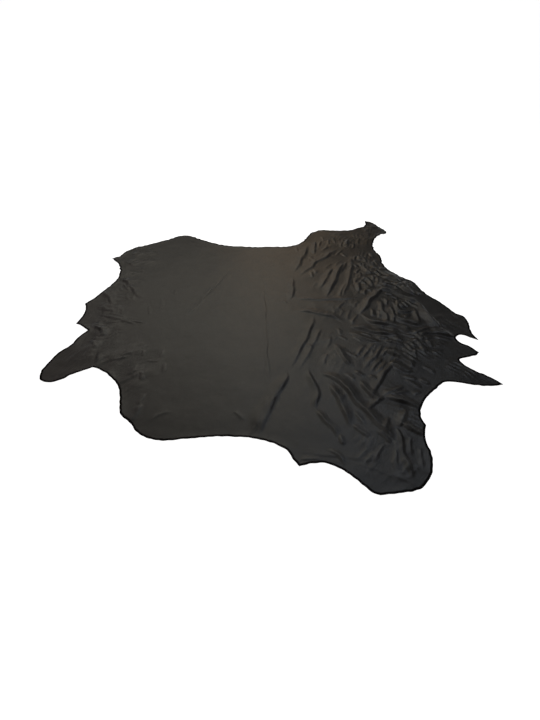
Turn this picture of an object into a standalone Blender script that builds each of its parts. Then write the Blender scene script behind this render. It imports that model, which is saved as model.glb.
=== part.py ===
"""A whole upholstery hide, trimmed to its natural outline and laid on a flat surface with its own folds.

Metres, +Z up. +X runs along the spine to the neck, +Y across it to the far shanks. The origin is on the
surface that the hide lies on, under the middle of the outline's box.
"""

import math
from typing import NamedTuple

import bpy
import numpy as np
from mathutils.geometry import delaunay_2d_cdt

THICKNESS = 0.0015
MM = 0.001

# Spacing of the mesh's points: along the edge, along a fold's crest, and on the open flat.
RIM_STEP = 0.034
CREST_STEP = 0.042
FIELD_STEP = 0.100

# Least distance between two points of one kind and any point placed before them.
CREST_GAP = 0.016
FLANK_GAP = 0.0125
FIELD_GAP = 0.050

# Share of a fold's length over which its height rises from nothing at either end.
TAPER_SHARE = 0.30

# Spacing of the points that a fold's path is measured from, and the least gap between the mesh's points.
PATH_STEP = 0.010
MERGE_LIMIT = 1e-6

HIDE_COLOUR = (0.030, 0.027, 0.024, 1.0)
HIDE_ROUGHNESS = 0.48


class Stretch(NamedTuple):
    """One run of the edge, from a corner to the corner where the next run starts."""

    name: str
    places: tuple[tuple[float, float], ...]


class Fold(NamedTuple):
    """A soft ridge. Seen along its path, the gentle flank is on the left and the steep one on the right."""

    name: str
    height_mm: float
    gentle_mm: float
    steep_mm: float
    path: tuple[tuple[float, float], ...]


class Swell(NamedTuple):
    """A broad low rise of the hide off the surface, round a centre."""

    name: str
    x: float
    y: float
    reach_x: float
    reach_y: float
    height_mm: float


# The edge, clockwise from the tip of the far hind shank, in metres.
OUTLINE = (
    Stretch("far hind shank and flank", (
        (-1.208, 0.680), (-1.160, 0.715), (-1.135, 0.780), (-1.090, 0.845), (-1.010, 0.890),
        (-0.910, 0.950), (-0.820, 1.015), (-0.745, 1.075), (-0.680, 1.080), (-0.600, 1.035),
        (-0.500, 0.965), (-0.390, 0.910), (-0.260, 0.885), (-0.130, 0.872), (0.020, 0.877),
        (0.160, 0.886), (0.250, 0.940), (0.305, 1.025), (0.338, 1.105))),
    Stretch("far fore shank", (
        (0.350, 1.130), (0.430, 1.184), (0.520, 1.182), (0.620, 1.178), (0.700, 1.182),
        (0.755, 1.215), (0.825, 1.258))),
    Stretch("far fore shank, end", (
        (0.848, 1.370), (0.900, 1.343), (0.928, 1.288), (0.962, 1.225))),
    Stretch("neck edge, far side", (
        (0.996, 1.145), (0.978, 1.103), (0.930, 1.076), (0.890, 1.034), (0.850, 0.955),
        (0.833, 0.875), (0.840, 0.785), (0.862, 0.715), (0.857, 0.620), (0.870, 0.530),
        (0.910, 0.460), (0.960, 0.395), (1.025, 0.325), (1.040, 0.260), (1.080, 0.165),
        (1.135, 0.080), (1.185, -0.015))),
    Stretch("far cheek", (
        (1.200, -0.050), (1.240, -0.080), (1.250, -0.140), (1.240, -0.200), (1.233, -0.260))),
    Stretch("far cheek, inner edge", (
        (1.250, -0.332), (1.213, -0.308), (1.165, -0.279), (1.135, -0.286), (1.120, -0.320),
        (1.132, -0.352), (1.175, -0.386))),
    Stretch("poll", (
        (1.212, -0.442), (1.190, -0.463), (1.130, -0.484), (1.077, -0.508), (1.087, -0.546),
        (1.126, -0.591), (1.176, -0.632), (1.218, -0.674))),
    Stretch("near cheek and neck edge", (
        (1.246, -0.708), (1.180, -0.720), (1.085, -0.710), (1.000, -0.689), (0.935, -0.690),
        (0.888, -0.732), (0.820, -0.797), (0.768, -0.874), (0.749, -0.950))),
    Stretch("near fore shank", (
        (0.760, -0.990), (0.738, -1.055), (0.737, -1.185), (0.706, -1.275), (0.645, -1.338),
        (0.550, -1.360))),
    Stretch("near fore shank, end", (
        (0.468, -1.370), (0.436, -1.355), (0.396, -1.313), (0.354, -1.270), (0.307, -1.232),
        (0.252, -1.208), (0.195, -1.210))),
    Stretch("near belly and flank", (
        (0.136, -1.227), (0.108, -1.185), (0.090, -1.148), (0.040, -1.108), (-0.060, -1.072),
        (-0.200, -1.057), (-0.370, -1.070), (-0.540, -1.075), (-0.620, -1.038), (-0.670, -0.978),
        (-0.734, -0.918), (-0.763, -0.820), (-0.798, -0.720), (-0.868, -0.640), (-0.910, -0.604),
        (-0.962, -0.579), (-1.016, -0.600), (-1.072, -0.632), (-1.121, -0.671), (-1.178, -0.691),
        (-1.232, -0.667), (-1.250, -0.606), (-1.235, -0.520), (-1.208, -0.440), (-1.166, -0.388),
        (-1.140, -0.305))),
    Stretch("near hind notch", (
        (-1.106, -0.240), (-1.150, -0.199))),
    Stretch("butt, near side", (
        (-1.205, -0.160), (-1.194, -0.100), (-1.192, -0.030))),
    Stretch("butt, far side", (
        (-1.217, 0.065), (-1.180, 0.120), (-1.150, 0.200), (-1.105, 0.300), (-1.087, 0.400),
        (-1.100, 0.500), (-1.135, 0.590))),
)

# Folds, left to right and far to near on each part of the hide.
FOLDS = (
    Fold("far butt crease", 7, 40, 24, (
        (-1.094, 0.414), (-1.047, 0.368), (-0.999, 0.328), (-0.980, 0.286), (-0.941, 0.242),
        (-0.912, 0.186), (-0.880, 0.148), (-0.830, 0.115))),
    Fold("butt corner crease", 5, 36, 22, (
        (-1.145, 0.230), (-1.112, 0.174), (-1.081, 0.127), (-1.052, 0.079), (-1.015, 0.018))),
    Fold("far hind shank crease", 4, 40, 28, (
        (-1.085, 0.615), (-1.020, 0.568), (-0.982, 0.539), (-0.944, 0.511), (-0.900, 0.472))),
    Fold("near butt ridge", 5, 40, 24, (
        (-1.120, -0.058), (-1.043, -0.084), (-0.994, -0.098), (-0.936, -0.121), (-0.888, -0.144),
        (-0.815, -0.180))),
    Fold("near hind notch pucker", 9, 36, 22, (
        (-1.100, -0.190), (-1.062, -0.204), (-1.031, -0.221), (-1.016, -0.243), (-1.008, -0.275),
        (-1.012, -0.320))),
    Fold("near hind shank root", 7, 34, 22, (
        (-0.974, -0.445), (-0.965, -0.500), (-0.962, -0.525), (-0.972, -0.570), (-0.990, -0.615))),
    Fold("near flank pucker", 4, 28, 18, (
        (-0.815, -0.715), (-0.760, -0.670), (-0.732, -0.646), (-0.705, -0.610))),
    Fold("near flank corner", 7, 32, 20, (
        (-0.692, -0.985), (-0.675, -0.955), (-0.654, -0.917), (-0.648, -0.886), (-0.638, -0.840))),
    Fold("storage crease along the back", 2, 26, 18, (
        (0.002, -0.720), (-0.008, -0.450), (-0.018, -0.100), (-0.035, 0.300))),
    Fold("storage crease across the back", 3, 26, 18, (
        (-0.540, -0.120), (-0.515, -0.045), (-0.485, 0.004), (-0.442, 0.116), (-0.423, 0.173),
        (-0.390, 0.259), (-0.350, 0.320))),
    Fold("belly fold", 9, 54, 26, (
        (-0.056, -1.090), (-0.029, -0.977), (0.008, -0.870), (0.043, -0.775), (0.080, -0.700),
        (0.099, -0.640), (0.075, -0.580))),
    Fold("belly fold, inner ripple", 4, 36, 24, (
        (-0.075, -1.050), (-0.048, -0.950), (-0.016, -0.840), (-0.008, -0.770))),
    Fold("far shoulder fold", 7, 46, 34, (
        (0.180, 0.460), (0.213, 0.560), (0.233, 0.622), (0.251, 0.680), (0.281, 0.775), (0.310, 0.930))),
    Fold("far shoulder fold, foot", 6, 32, 20, (
        (0.134, 0.080), (0.160, 0.173), (0.169, 0.229), (0.165, 0.276), (0.171, 0.333), (0.166, 0.395))),
    Fold("far shoulder wave", 6, 34, 26, (
        (0.205, 0.385), (0.240, 0.444), (0.287, 0.510), (0.326, 0.555), (0.344, 0.604), (0.402, 0.664),
        (0.442, 0.700), (0.478, 0.768), (0.516, 0.806), (0.565, 0.865))),
    Fold("far shank root ripple", 7, 32, 20, (
        (0.352, 0.735), (0.359, 0.810), (0.364, 0.857), (0.373, 0.905), (0.379, 0.985))),
    Fold("neck fold, first", 6, 34, 24, (
        (0.345, 0.225), (0.400, 0.346), (0.419, 0.403), (0.438, 0.451), (0.457, 0.498), (0.475, 0.565))),
    Fold("neck fold, main", 11, 46, 26, (
        (0.372, 0.115), (0.402, 0.174), (0.438, 0.270), (0.462, 0.327), (0.490, 0.422), (0.519, 0.508),
        (0.545, 0.580), (0.562, 0.640))),
    Fold("neck fold, last", 7, 26, 26, (
        (0.480, 0.090), (0.508, 0.172), (0.536, 0.248), (0.565, 0.343), (0.584, 0.419), (0.603, 0.495),
        (0.622, 0.600), (0.648, 0.770))),
    Fold("far shank ripple", 6, 30, 20, (
        (0.612, 0.850), (0.630, 0.920), (0.645, 0.995))),
    Fold("neck crossing", 5, 28, 18, (
        (0.150, 0.112), (0.240, 0.112), (0.340, 0.101), (0.500, 0.106), (0.620, 0.112))),
    Fold("neck crossing, near", 7, 36, 20, (
        (0.165, -0.033), (0.236, -0.039), (0.284, -0.048), (0.325, -0.062), (0.363, -0.081),
        (0.412, -0.101), (0.441, -0.124), (0.468, -0.165))),
    Fold("wither fold", 14, 40, 26, (
        (0.575, -0.085), (0.602, -0.040), (0.635, 0.010), (0.673, 0.082), (0.706, 0.120),
        (0.734, 0.168), (0.768, 0.210), (0.790, 0.250))),
    Fold("cheek wrinkle, outer", 9, 50, 26, (
        (0.780, 0.525), (0.814, 0.482), (0.842, 0.444), (0.873, 0.416), (0.930, 0.365))),
    Fold("cheek wrinkle, middle", 11, 46, 24, (
        (0.798, 0.412), (0.832, 0.387), (0.870, 0.358), (0.899, 0.330), (0.930, 0.290))),
    Fold("cheek wrinkle, inner", 13, 54, 26, (
        (0.855, 0.302), (0.896, 0.272), (0.929, 0.225), (0.967, 0.177), (1.005, 0.150))),
    Fold("cheek wrinkle, near", 13, 60, 30, (
        (0.845, 0.178), (0.893, 0.140), (0.938, 0.092), (0.975, 0.035))),
    Fold("cheek knuckle", 9, 26, 20, (
        (0.772, 0.282), (0.825, 0.272), (0.868, 0.250), (0.890, 0.210))),
    Fold("cheek knuckle, near", 11, 30, 24, (
        (0.755, 0.228), (0.812, 0.212), (0.850, 0.185), (0.872, 0.145))),
    Fold("pate wrinkle, far", 9, 28, 20, (
        (0.748, 0.425), (0.720, 0.478), (0.709, 0.520), (0.714, 0.580))),
    Fold("pate wrinkle, middle", 11, 26, 20, (
        (0.724, 0.245), (0.719, 0.290), (0.715, 0.326), (0.702, 0.375), (0.685, 0.405))),
    Fold("pate wrinkle, near", 9, 26, 20, (
        (0.615, 0.190), (0.624, 0.260), (0.624, 0.330))),
    Fold("face ridge", 17, 46, 30, (
        (1.072, -0.262), (1.047, -0.182), (1.028, -0.134), (1.009, -0.086), (0.995, -0.028),
        (0.990, 0.030), (0.968, 0.110))),
    Fold("face wrinkle", 8, 26, 20, (
        (0.920, -0.200), (0.937, -0.140), (0.941, -0.100), (0.944, -0.046), (0.925, 0.010))),
    Fold("crown wrinkle, left", 11, 26, 22, (
        (0.718, -0.205), (0.737, -0.143), (0.742, -0.093), (0.733, -0.046), (0.740, 0.030),
        (0.730, 0.100))),
    Fold("crown wrinkle, right", 10, 26, 20, (
        (0.845, 0.110), (0.843, 0.040), (0.835, -0.006), (0.842, -0.040), (0.870, -0.053),
        (0.912, -0.047), (0.955, -0.030))),
    Fold("eye fold", 13, 34, 24, (
        (0.772, -0.088), (0.801, -0.114), (0.831, -0.138), (0.868, -0.162), (0.905, -0.185),
        (0.960, -0.195))),
    Fold("throat fold, first", 13, 40, 24, (
        (0.586, -0.060), (0.607, -0.105), (0.643, -0.166), (0.695, -0.182), (0.772, -0.200),
        (0.813, -0.230), (0.845, -0.280), (0.852, -0.320))),
    Fold("throat fold, second", 13, 44, 24, (
        (0.490, -0.190), (0.525, -0.210), (0.573, -0.229), (0.620, -0.258), (0.676, -0.281),
        (0.716, -0.291), (0.785, -0.300))),
    Fold("throat fold, third", 8, 34, 22, (
        (0.480, -0.255), (0.527, -0.293), (0.566, -0.324), (0.606, -0.350), (0.665, -0.372))),
    Fold("throat fold, fourth", 9, 28, 20, (
        (0.680, -0.348), (0.725, -0.362), (0.764, -0.381), (0.795, -0.410))),
    Fold("jaw knuckle", 10, 26, 20, (
        (0.862, -0.298), (0.880, -0.278), (0.908, -0.259), (0.957, -0.229), (1.000, -0.212))),
    Fold("jaw ripple", 8, 26, 20, (
        (0.850, -0.318), (0.880, -0.365), (0.893, -0.415), (0.894, -0.460))),
    Fold("cheek root", 7, 46, 34, (
        (0.980, -0.250), (1.050, -0.262), (1.120, -0.290))),
    Fold("brisket crease", 7, 34, 20, (
        (0.120, -0.600), (0.144, -0.520), (0.173, -0.434), (0.211, -0.357), (0.235, -0.281),
        (0.259, -0.205), (0.280, -0.118), (0.290, -0.060))),
    Fold("brisket crease, beside", 4, 30, 18, (
        (0.160, -0.620), (0.187, -0.558), (0.230, -0.452), (0.273, -0.347), (0.306, -0.262),
        (0.350, -0.180))),
    Fold("brisket hollow", 8, 36, 26, (
        (0.382, -0.362), (0.396, -0.406), (0.415, -0.453), (0.425, -0.500), (0.438, -0.536),
        (0.478, -0.580))),
    Fold("point of shoulder", 12, 42, 24, (
        (0.668, -0.395), (0.686, -0.436), (0.709, -0.464), (0.736, -0.487), (0.766, -0.516),
        (0.787, -0.540), (0.805, -0.590))),
    Fold("point of shoulder, near", 9, 42, 28, (
        (0.672, -0.530), (0.712, -0.568), (0.755, -0.603), (0.800, -0.628))),
    Fold("near shoulder diagonal", 9, 34, 20, (
        (0.518, -0.835), (0.536, -0.794), (0.565, -0.737), (0.593, -0.689), (0.641, -0.612),
        (0.688, -0.550), (0.718, -0.510))),
    Fold("near shoulder sweep", 12, 46, 26, (
        (0.262, -0.598), (0.290, -0.622), (0.337, -0.655), (0.382, -0.697), (0.415, -0.757),
        (0.434, -0.813), (0.462, -0.869), (0.491, -0.917), (0.519, -0.965), (0.540, -1.004),
        (0.577, -1.060), (0.602, -1.125))),
    Fold("near shoulder pucker", 10, 30, 24, (
        (0.490, -0.675), (0.495, -0.708), (0.501, -0.739), (0.520, -0.776), (0.545, -0.813),
        (0.565, -0.845))),
    Fold("brisket ripple, first", 7, 34, 22, (
        (0.240, -0.910), (0.239, -0.840), (0.252, -0.798), (0.255, -0.760), (0.248, -0.712),
        (0.234, -0.672), (0.220, -0.634), (0.218, -0.560))),
    Fold("brisket ripple, second", 8, 36, 24, (
        (0.306, -0.680), (0.323, -0.718), (0.338, -0.757), (0.357, -0.805), (0.367, -0.863),
        (0.381, -0.920), (0.386, -0.970), (0.388, -1.020))),
    Fold("brisket ripple, third", 6, 30, 20, (
        (0.232, -0.880), (0.247, -0.909), (0.266, -0.938), (0.285, -0.976), (0.309, -1.009),
        (0.328, -1.070))),
    Fold("near shank root", 7, 26, 18, (
        (0.490, -0.900), (0.508, -0.880), (0.537, -0.851), (0.566, -0.827), (0.600, -0.806))),
    Fold("near shank crossing", 9, 32, 22, (
        (0.575, -0.806), (0.600, -0.809), (0.648, -0.824), (0.696, -0.839), (0.735, -0.863),
        (0.780, -0.900))),
    Fold("near shank fork", 8, 28, 20, (
        (0.620, -1.015), (0.649, -0.967), (0.668, -0.928), (0.690, -0.880))),
    Fold("near shank pucker", 9, 30, 20, (
        (0.634, -0.972), (0.656, -0.993), (0.680, -1.021), (0.709, -1.040), (0.738, -1.065))),
    Fold("near shank length", 7, 28, 18, (
        (0.630, -1.310), (0.624, -1.210), (0.612, -1.150), (0.621, -1.093), (0.619, -1.046),
        (0.605, -0.985))),
    Fold("near shank edge ridge", 3, 30, 18, (
        (0.110, -1.148), (0.189, -1.156), (0.284, -1.168), (0.350, -1.178), (0.450, -1.192),
        (0.530, -1.208))),
    Fold("near shank edge ridge, low", 3, 26, 16, (
        (0.375, -1.208), (0.457, -1.240), (0.506, -1.259), (0.563, -1.287), (0.635, -1.330))),
)

SWELLS = (
    Swell("fore part", 0.480, -0.080, 0.800, 1.250, 5),
    Swell("wrinkled neck", 0.760, 0.180, 0.400, 0.520, 9),
    Swell("throat", 0.750, -0.300, 0.380, 0.300, 7),
    Swell("near shoulder", 0.540, -0.830, 0.300, 0.420, 5),
    Swell("face", 0.985, -0.100, 0.210, 0.320, 7),
    Swell("far fore shank", 0.850, 1.080, 0.240, 0.300, 8),
    Swell("near hind shank", -1.060, -0.400, 0.240, 0.260, 6),
)


def smooth_run(places, step):
    """Points about a step apart on a smooth curve through the places, both ends included.

    Each span is a cubic whose slope at a place is the mean of the slopes of the spans beside it.
    """
    knots = np.array(places, float)
    reach = np.concatenate([[0.0], np.cumsum(np.linalg.norm(np.diff(knots, axis=0), axis=1))])
    slope = np.gradient(knots, reach, axis=0)
    at = np.linspace(0.0, reach[-1], max(2, round(reach[-1] / step) + 1))
    span = np.clip(np.searchsorted(reach, at, side="right") - 1, 0, len(knots) - 2)
    length = (reach[span + 1] - reach[span])[:, None]
    t = (at[:, None] - reach[span][:, None]) / length
    start = knots[span] * (2 * t**3 - 3 * t**2 + 1) + slope[span] * length * (t**3 - 2 * t**2 + t)
    end = knots[span + 1] * (3 * t**2 - 2 * t**3) + slope[span + 1] * length * (t**3 - t**2)
    return start + end


def edge_of_hide(step):
    """The closed edge as points about a step apart, moved so that its box is centred on the origin."""
    runs = []
    for number, stretch in enumerate(OUTLINE):
        next_corner = OUTLINE[(number + 1) % len(OUTLINE)].places[0]
        runs.append(smooth_run((*stretch.places, next_corner), step)[:-1])
    edge = np.concatenate(runs)
    return edge - (edge.min(axis=0) + edge.max(axis=0)) / 2


def path_distance(points, path):
    """Signed distance of each point from a path, left positive, and the share of the path behind it."""
    starts, ends = path[:-1], path[1:]
    lengths = np.linalg.norm(ends - starts, axis=1)
    reach = np.concatenate([[0.0], np.cumsum(lengths)])
    best = np.full(len(points), np.inf)
    side = np.ones(len(points))
    share = np.zeros(len(points))
    for number, (start, end) in enumerate(zip(starts, ends)):
        along = (end - start) / lengths[number]
        offset = points - start
        t = np.clip(offset @ along, 0.0, lengths[number])
        distance = np.linalg.norm(offset - t[:, None] * along, axis=1)
        nearer = distance < best
        best[nearer] = distance[nearer]
        cross = along[0] * offset[:, 1] - along[1] * offset[:, 0]
        side[nearer] = np.where(cross[nearer] >= 0, 1.0, -1.0)
        share[nearer] = (reach[number] + t[nearer]) / reach[-1]
    return best * side, share


def half_wave(t):
    """1 at t = 0, falling as half a cosine wave to 0 at t = 1 and beyond."""
    return 0.5 + 0.5 * np.cos(math.pi * np.clip(t, 0.0, 1.0))


def fold_height(points, fold):
    """The height that one fold adds: a half wave on either flank, tapered to nothing at both ends."""
    distance, share = path_distance(points, smooth_run(fold.path, PATH_STEP))
    width = np.where(distance >= 0, fold.gentle_mm, fold.steep_mm) * MM
    taper = half_wave(1 - np.minimum(share, 1 - share) / TAPER_SHARE)
    return fold.height_mm * MM * taper * half_wave(np.abs(distance) / width)


def swell_height(points, swell):
    """The height that one swell adds: a half wave over an ellipse."""
    across = (points - (swell.x, swell.y)) / (swell.reach_x, swell.reach_y)
    return swell.height_mm * MM * half_wave(np.linalg.norm(across, axis=1))


def height(points):
    """How far the underside of the hide stands off the surface at each point."""
    rises = [fold_height(points, fold) for fold in FOLDS]
    rises += [swell_height(points, swell) for swell in SWELLS]
    return np.sum(rises, axis=0)


def inside(points, edge):
    """Whether each point lies inside the closed edge, where a line to its right crosses the edge an odd
    number of times.
    """
    x, y = points[:, 0:1], points[:, 1:2]
    x1, y1 = edge[:, 0], edge[:, 1]
    x2, y2 = np.roll(x1, -1), np.roll(y1, -1)
    straddles = (y1 > y) != (y2 > y)
    rise = np.where(y2 == y1, 1.0, y2 - y1)
    crossing = x1 + (y - y1) * (x2 - x1) / rise
    return (np.count_nonzero(straddles & (x < crossing), axis=1) % 2) == 1


def keep_clear(kept, candidates, gap):
    """Adds each candidate that is a gap or more from every point kept so far."""
    for point in candidates:
        if np.min(np.linalg.norm(kept - point, axis=1)) >= gap:
            kept = np.vstack([kept, point])
    return kept


def fold_rows(fold):
    """Points along a fold's crest, and along lines on its flanks and at its feet."""
    crest = smooth_run(fold.path, CREST_STEP)
    along = np.gradient(crest, axis=0)
    along /= np.linalg.norm(along, axis=1)[:, None]
    left = np.stack([-along[:, 1], along[:, 0]], axis=1)
    widths = (fold.gentle_mm * MM, fold.gentle_mm * MM / 2, -fold.steep_mm * MM / 2, -fold.steep_mm * MM)
    return crest, np.concatenate([crest + left * width for width in widths])


def field_rows(edge):
    """A staggered grid over the whole hide."""
    low, high = edge.min(axis=0), edge.max(axis=0)
    row_step = FIELD_STEP * math.sqrt(3) / 2
    rows = np.arange(low[1], high[1], row_step)
    columns = np.arange(low[0], high[0], FIELD_STEP)
    x, y = np.meshgrid(columns, rows)
    x[1::2] += FIELD_STEP / 2
    return np.stack([x.ravel(), y.ravel()], axis=1)


def sheet_points(edge):
    """The edge's points, then as many more as the folds and the open flat need."""
    crests, flanks = zip(*(fold_rows(fold) for fold in FOLDS))
    kept = edge
    for candidates, gap in (
        (np.concatenate(crests), CREST_GAP),
        (np.concatenate(flanks), FLANK_GAP),
        (field_rows(edge), FIELD_GAP),
    ):
        candidates = candidates[inside(candidates, edge)]
        kept = keep_clear(kept, candidates, gap)
    return kept


def leather():
    """The hide's finish: dark brown-black with a low sheen."""
    material = bpy.data.materials.new("hide leather")
    material.use_nodes = True
    shader = material.node_tree.nodes["Principled BSDF"]
    shader.inputs["Base Color"].default_value = HIDE_COLOUR
    shader.inputs["Roughness"].default_value = HIDE_ROUGHNESS
    shader.inputs["Metallic"].default_value = 0.0
    material.diffuse_color = HIDE_COLOUR
    return material


def make_hide():
    """The hide as one solid: a folded sheet, thickened upwards from its underside."""
    edge = edge_of_hide(RIM_STEP)
    points = sheet_points(edge)
    border = [(number, (number + 1) % len(edge)) for number in range(len(edge))]
    inside_only = 1
    flat, _, faces, *_ = delaunay_2d_cdt(
        [tuple(point) for point in points], border, [], inside_only, MERGE_LIMIT
    )
    flat = np.array([tuple(point) for point in flat])
    raised = np.column_stack([flat, height(flat)])
    mesh = bpy.data.meshes.new("hide")
    mesh.from_pydata([tuple(point) for point in raised], [], [tuple(face) for face in faces])
    if sum(polygon.normal.z for polygon in mesh.polygons) < 0:
        mesh.flip_normals()
    mesh.shade_smooth()
    mesh.materials.append(leather())
    hide = bpy.data.objects.new("hide", mesh)
    bpy.context.scene.collection.objects.link(hide)
    wall = hide.modifiers.new("thickness", "SOLIDIFY")
    wall.thickness = THICKNESS
    wall.offset = 1.0
    wall.use_even_offset = False
    return hide


def main():
    """Clears the scene and makes the hide."""
    for leftover in list(bpy.data.objects):
        bpy.data.objects.remove(leftover)
    make_hide()


main()
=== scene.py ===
"""A whole upholstery hide, laid flat with its own folds and wrinkles, on a pale studio floor.

Metres, +Z up. +X runs along the spine to the neck, +Y across it to the far shanks, and the origin is on the
surface that the hide lies on, under the middle of the outline's box. The hide is one closed sheet: the
grain side on top, the cut edge round it and the flesh side underneath. Its main folds are those of the
solid that it replaces, and the finer creases and crumples are added here.
"""

import logging
import math
from dataclasses import dataclass
from enum import Enum
from typing import NamedTuple

import bpy
import numpy as np
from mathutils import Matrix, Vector
from mathutils.geometry import delaunay_2d_cdt

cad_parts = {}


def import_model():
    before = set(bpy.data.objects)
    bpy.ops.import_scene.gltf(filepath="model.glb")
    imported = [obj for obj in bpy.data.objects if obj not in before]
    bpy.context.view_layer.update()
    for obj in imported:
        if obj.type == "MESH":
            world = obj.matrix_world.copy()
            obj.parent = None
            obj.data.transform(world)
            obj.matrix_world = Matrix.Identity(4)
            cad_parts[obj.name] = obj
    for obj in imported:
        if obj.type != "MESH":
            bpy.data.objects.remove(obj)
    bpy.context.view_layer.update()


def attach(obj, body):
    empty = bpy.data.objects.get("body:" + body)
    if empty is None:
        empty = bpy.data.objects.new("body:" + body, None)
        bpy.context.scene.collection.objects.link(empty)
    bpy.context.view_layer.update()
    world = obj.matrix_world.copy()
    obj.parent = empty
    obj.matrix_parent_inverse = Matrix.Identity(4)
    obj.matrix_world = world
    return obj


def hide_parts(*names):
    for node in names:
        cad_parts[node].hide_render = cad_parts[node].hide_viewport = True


MM = 0.001

# Share of a fold's length over which its height rises from nothing at either end, and the share of its
# width that is left there.
TAPER_SHARE = 0.30
END_WIDTH_SHARE = 0.5

# Share of a flank's width over which the crest of a fold is rounded, and the powers that bend the two
# flanks' fall: 1 is a straight slope, and a higher power is steeper by the crest.
PEAK_SHARE = 0.14
GENTLE_POWER = 1.6
STEEP_POWER = 1.4

# The skin's folds are crisper than the solid's: how wide the two flanks are, as shares of the tables' widths.
GENTLE_SPREAD = 1.35
STEEP_SPREAD = 0.72

# How far a fold's height wavers along it, as a share, how long one waver is, and how many radians the waver
# is ahead for each metre of x plus y at the fold's start.
WAVER_SHARE = 0.18
WAVER_LENGTH = 0.17
WAVER_AHEAD = 40.0

# The lowest and the highest rate of the waves in an uneven field, as shares of the mean rate.
LEAST_RATE = 0.6
MOST_RATE = 1.4

# Spacing of the points that a path is measured from, and the least gap between two points of the mesh.
PATH_STEP = 0.010
MERGE_LIMIT = 1e-6

# How many points are measured against the edge at one time.
BATCH = 4000


class Stretch(NamedTuple):
    """One run of the edge, from a corner to the corner where the next run starts."""

    name: str
    places: tuple[tuple[float, float], ...]


class Fold(NamedTuple):
    """A soft ridge. Seen along its path, the gentle flank is on the left and the steep one on the right."""

    name: str
    height_mm: float
    gentle_mm: float
    steep_mm: float
    path: tuple[tuple[float, float], ...]


class Swell(NamedTuple):
    """A broad low rise of the hide off the surface, round a centre."""

    name: str
    x: float
    y: float
    reach_x: float
    reach_y: float
    height_mm: float


class Crease(NamedTuple):
    """A small ridge of one part of the hide, with its flanks as a fold's, and below zero a trough."""

    height_mm: float
    gentle_mm: float
    steep_mm: float
    path: tuple[tuple[float, float], ...]


class Crumple(NamedTuple):
    """A patch of small wrinkles that run mostly one way, as in the loose skin of the neck."""

    name: str
    x: float
    y: float
    reach_x: float
    reach_y: float
    heading_deg: float
    spacing_mm: float
    height_mm: float


class Side(Enum):
    """The finishes of the sheet, by the number of their material slot."""

    GRAIN = 0
    FLESH = 1
    CUT_EDGE = 2


# The edge, clockwise from the tip of the far hind shank, in metres.
OUTLINE = (
    Stretch("far hind shank and flank", (
        (-1.208, 0.680), (-1.160, 0.715), (-1.135, 0.780), (-1.090, 0.845), (-1.010, 0.890),
        (-0.910, 0.950), (-0.820, 1.015), (-0.745, 1.075), (-0.680, 1.080), (-0.600, 1.035),
        (-0.500, 0.965), (-0.390, 0.910), (-0.260, 0.885), (-0.130, 0.872), (0.020, 0.877),
        (0.160, 0.886), (0.250, 0.940), (0.305, 1.025), (0.338, 1.105))),
    Stretch("far fore shank", (
        (0.350, 1.130), (0.430, 1.184), (0.520, 1.182), (0.620, 1.178), (0.700, 1.182),
        (0.755, 1.215), (0.825, 1.258))),
    Stretch("far fore shank, end", (
        (0.848, 1.370), (0.900, 1.343), (0.928, 1.288), (0.962, 1.225))),
    Stretch("neck edge, far side", (
        (0.996, 1.145), (0.978, 1.103), (0.930, 1.076), (0.890, 1.034), (0.850, 0.955),
        (0.833, 0.875), (0.840, 0.785), (0.862, 0.715), (0.857, 0.620), (0.870, 0.530),
        (0.910, 0.460), (0.960, 0.395), (1.025, 0.325), (1.040, 0.260), (1.080, 0.165),
        (1.135, 0.080), (1.185, -0.015))),
    Stretch("far cheek", (
        (1.200, -0.050), (1.240, -0.080), (1.250, -0.140), (1.240, -0.200), (1.233, -0.260))),
    Stretch("far cheek, inner edge", (
        (1.250, -0.332), (1.213, -0.308), (1.165, -0.279), (1.135, -0.286), (1.120, -0.320),
        (1.132, -0.352), (1.175, -0.386))),
    Stretch("poll", (
        (1.212, -0.442), (1.190, -0.463), (1.130, -0.484), (1.077, -0.508), (1.087, -0.546),
        (1.126, -0.591), (1.176, -0.632), (1.218, -0.674))),
    Stretch("near cheek and neck edge", (
        (1.246, -0.708), (1.180, -0.720), (1.085, -0.710), (1.000, -0.689), (0.935, -0.690),
        (0.888, -0.732), (0.820, -0.797), (0.768, -0.874), (0.749, -0.950))),
    Stretch("near fore shank", (
        (0.760, -0.990), (0.738, -1.055), (0.737, -1.185), (0.706, -1.275), (0.645, -1.338),
        (0.550, -1.360))),
    Stretch("near fore shank, end", (
        (0.468, -1.370), (0.436, -1.355), (0.396, -1.313), (0.354, -1.270), (0.307, -1.232),
        (0.252, -1.208), (0.195, -1.210))),
    Stretch("near belly and flank", (
        (0.136, -1.227), (0.108, -1.185), (0.090, -1.148), (0.040, -1.108), (-0.060, -1.072),
        (-0.200, -1.057), (-0.370, -1.070), (-0.540, -1.075), (-0.620, -1.038), (-0.670, -0.978),
        (-0.734, -0.918), (-0.763, -0.820), (-0.798, -0.720), (-0.868, -0.640), (-0.910, -0.604),
        (-0.962, -0.579), (-1.016, -0.600), (-1.072, -0.632), (-1.121, -0.671), (-1.178, -0.691),
        (-1.232, -0.667), (-1.250, -0.606), (-1.235, -0.520), (-1.208, -0.440), (-1.166, -0.388),
        (-1.140, -0.305))),
    Stretch("near hind notch", (
        (-1.106, -0.240), (-1.150, -0.199))),
    Stretch("butt, near side", (
        (-1.205, -0.160), (-1.194, -0.100), (-1.192, -0.030))),
    Stretch("butt, far side", (
        (-1.217, 0.065), (-1.180, 0.120), (-1.150, 0.200), (-1.105, 0.300), (-1.087, 0.400),
        (-1.100, 0.500), (-1.135, 0.590))),
)

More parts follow.
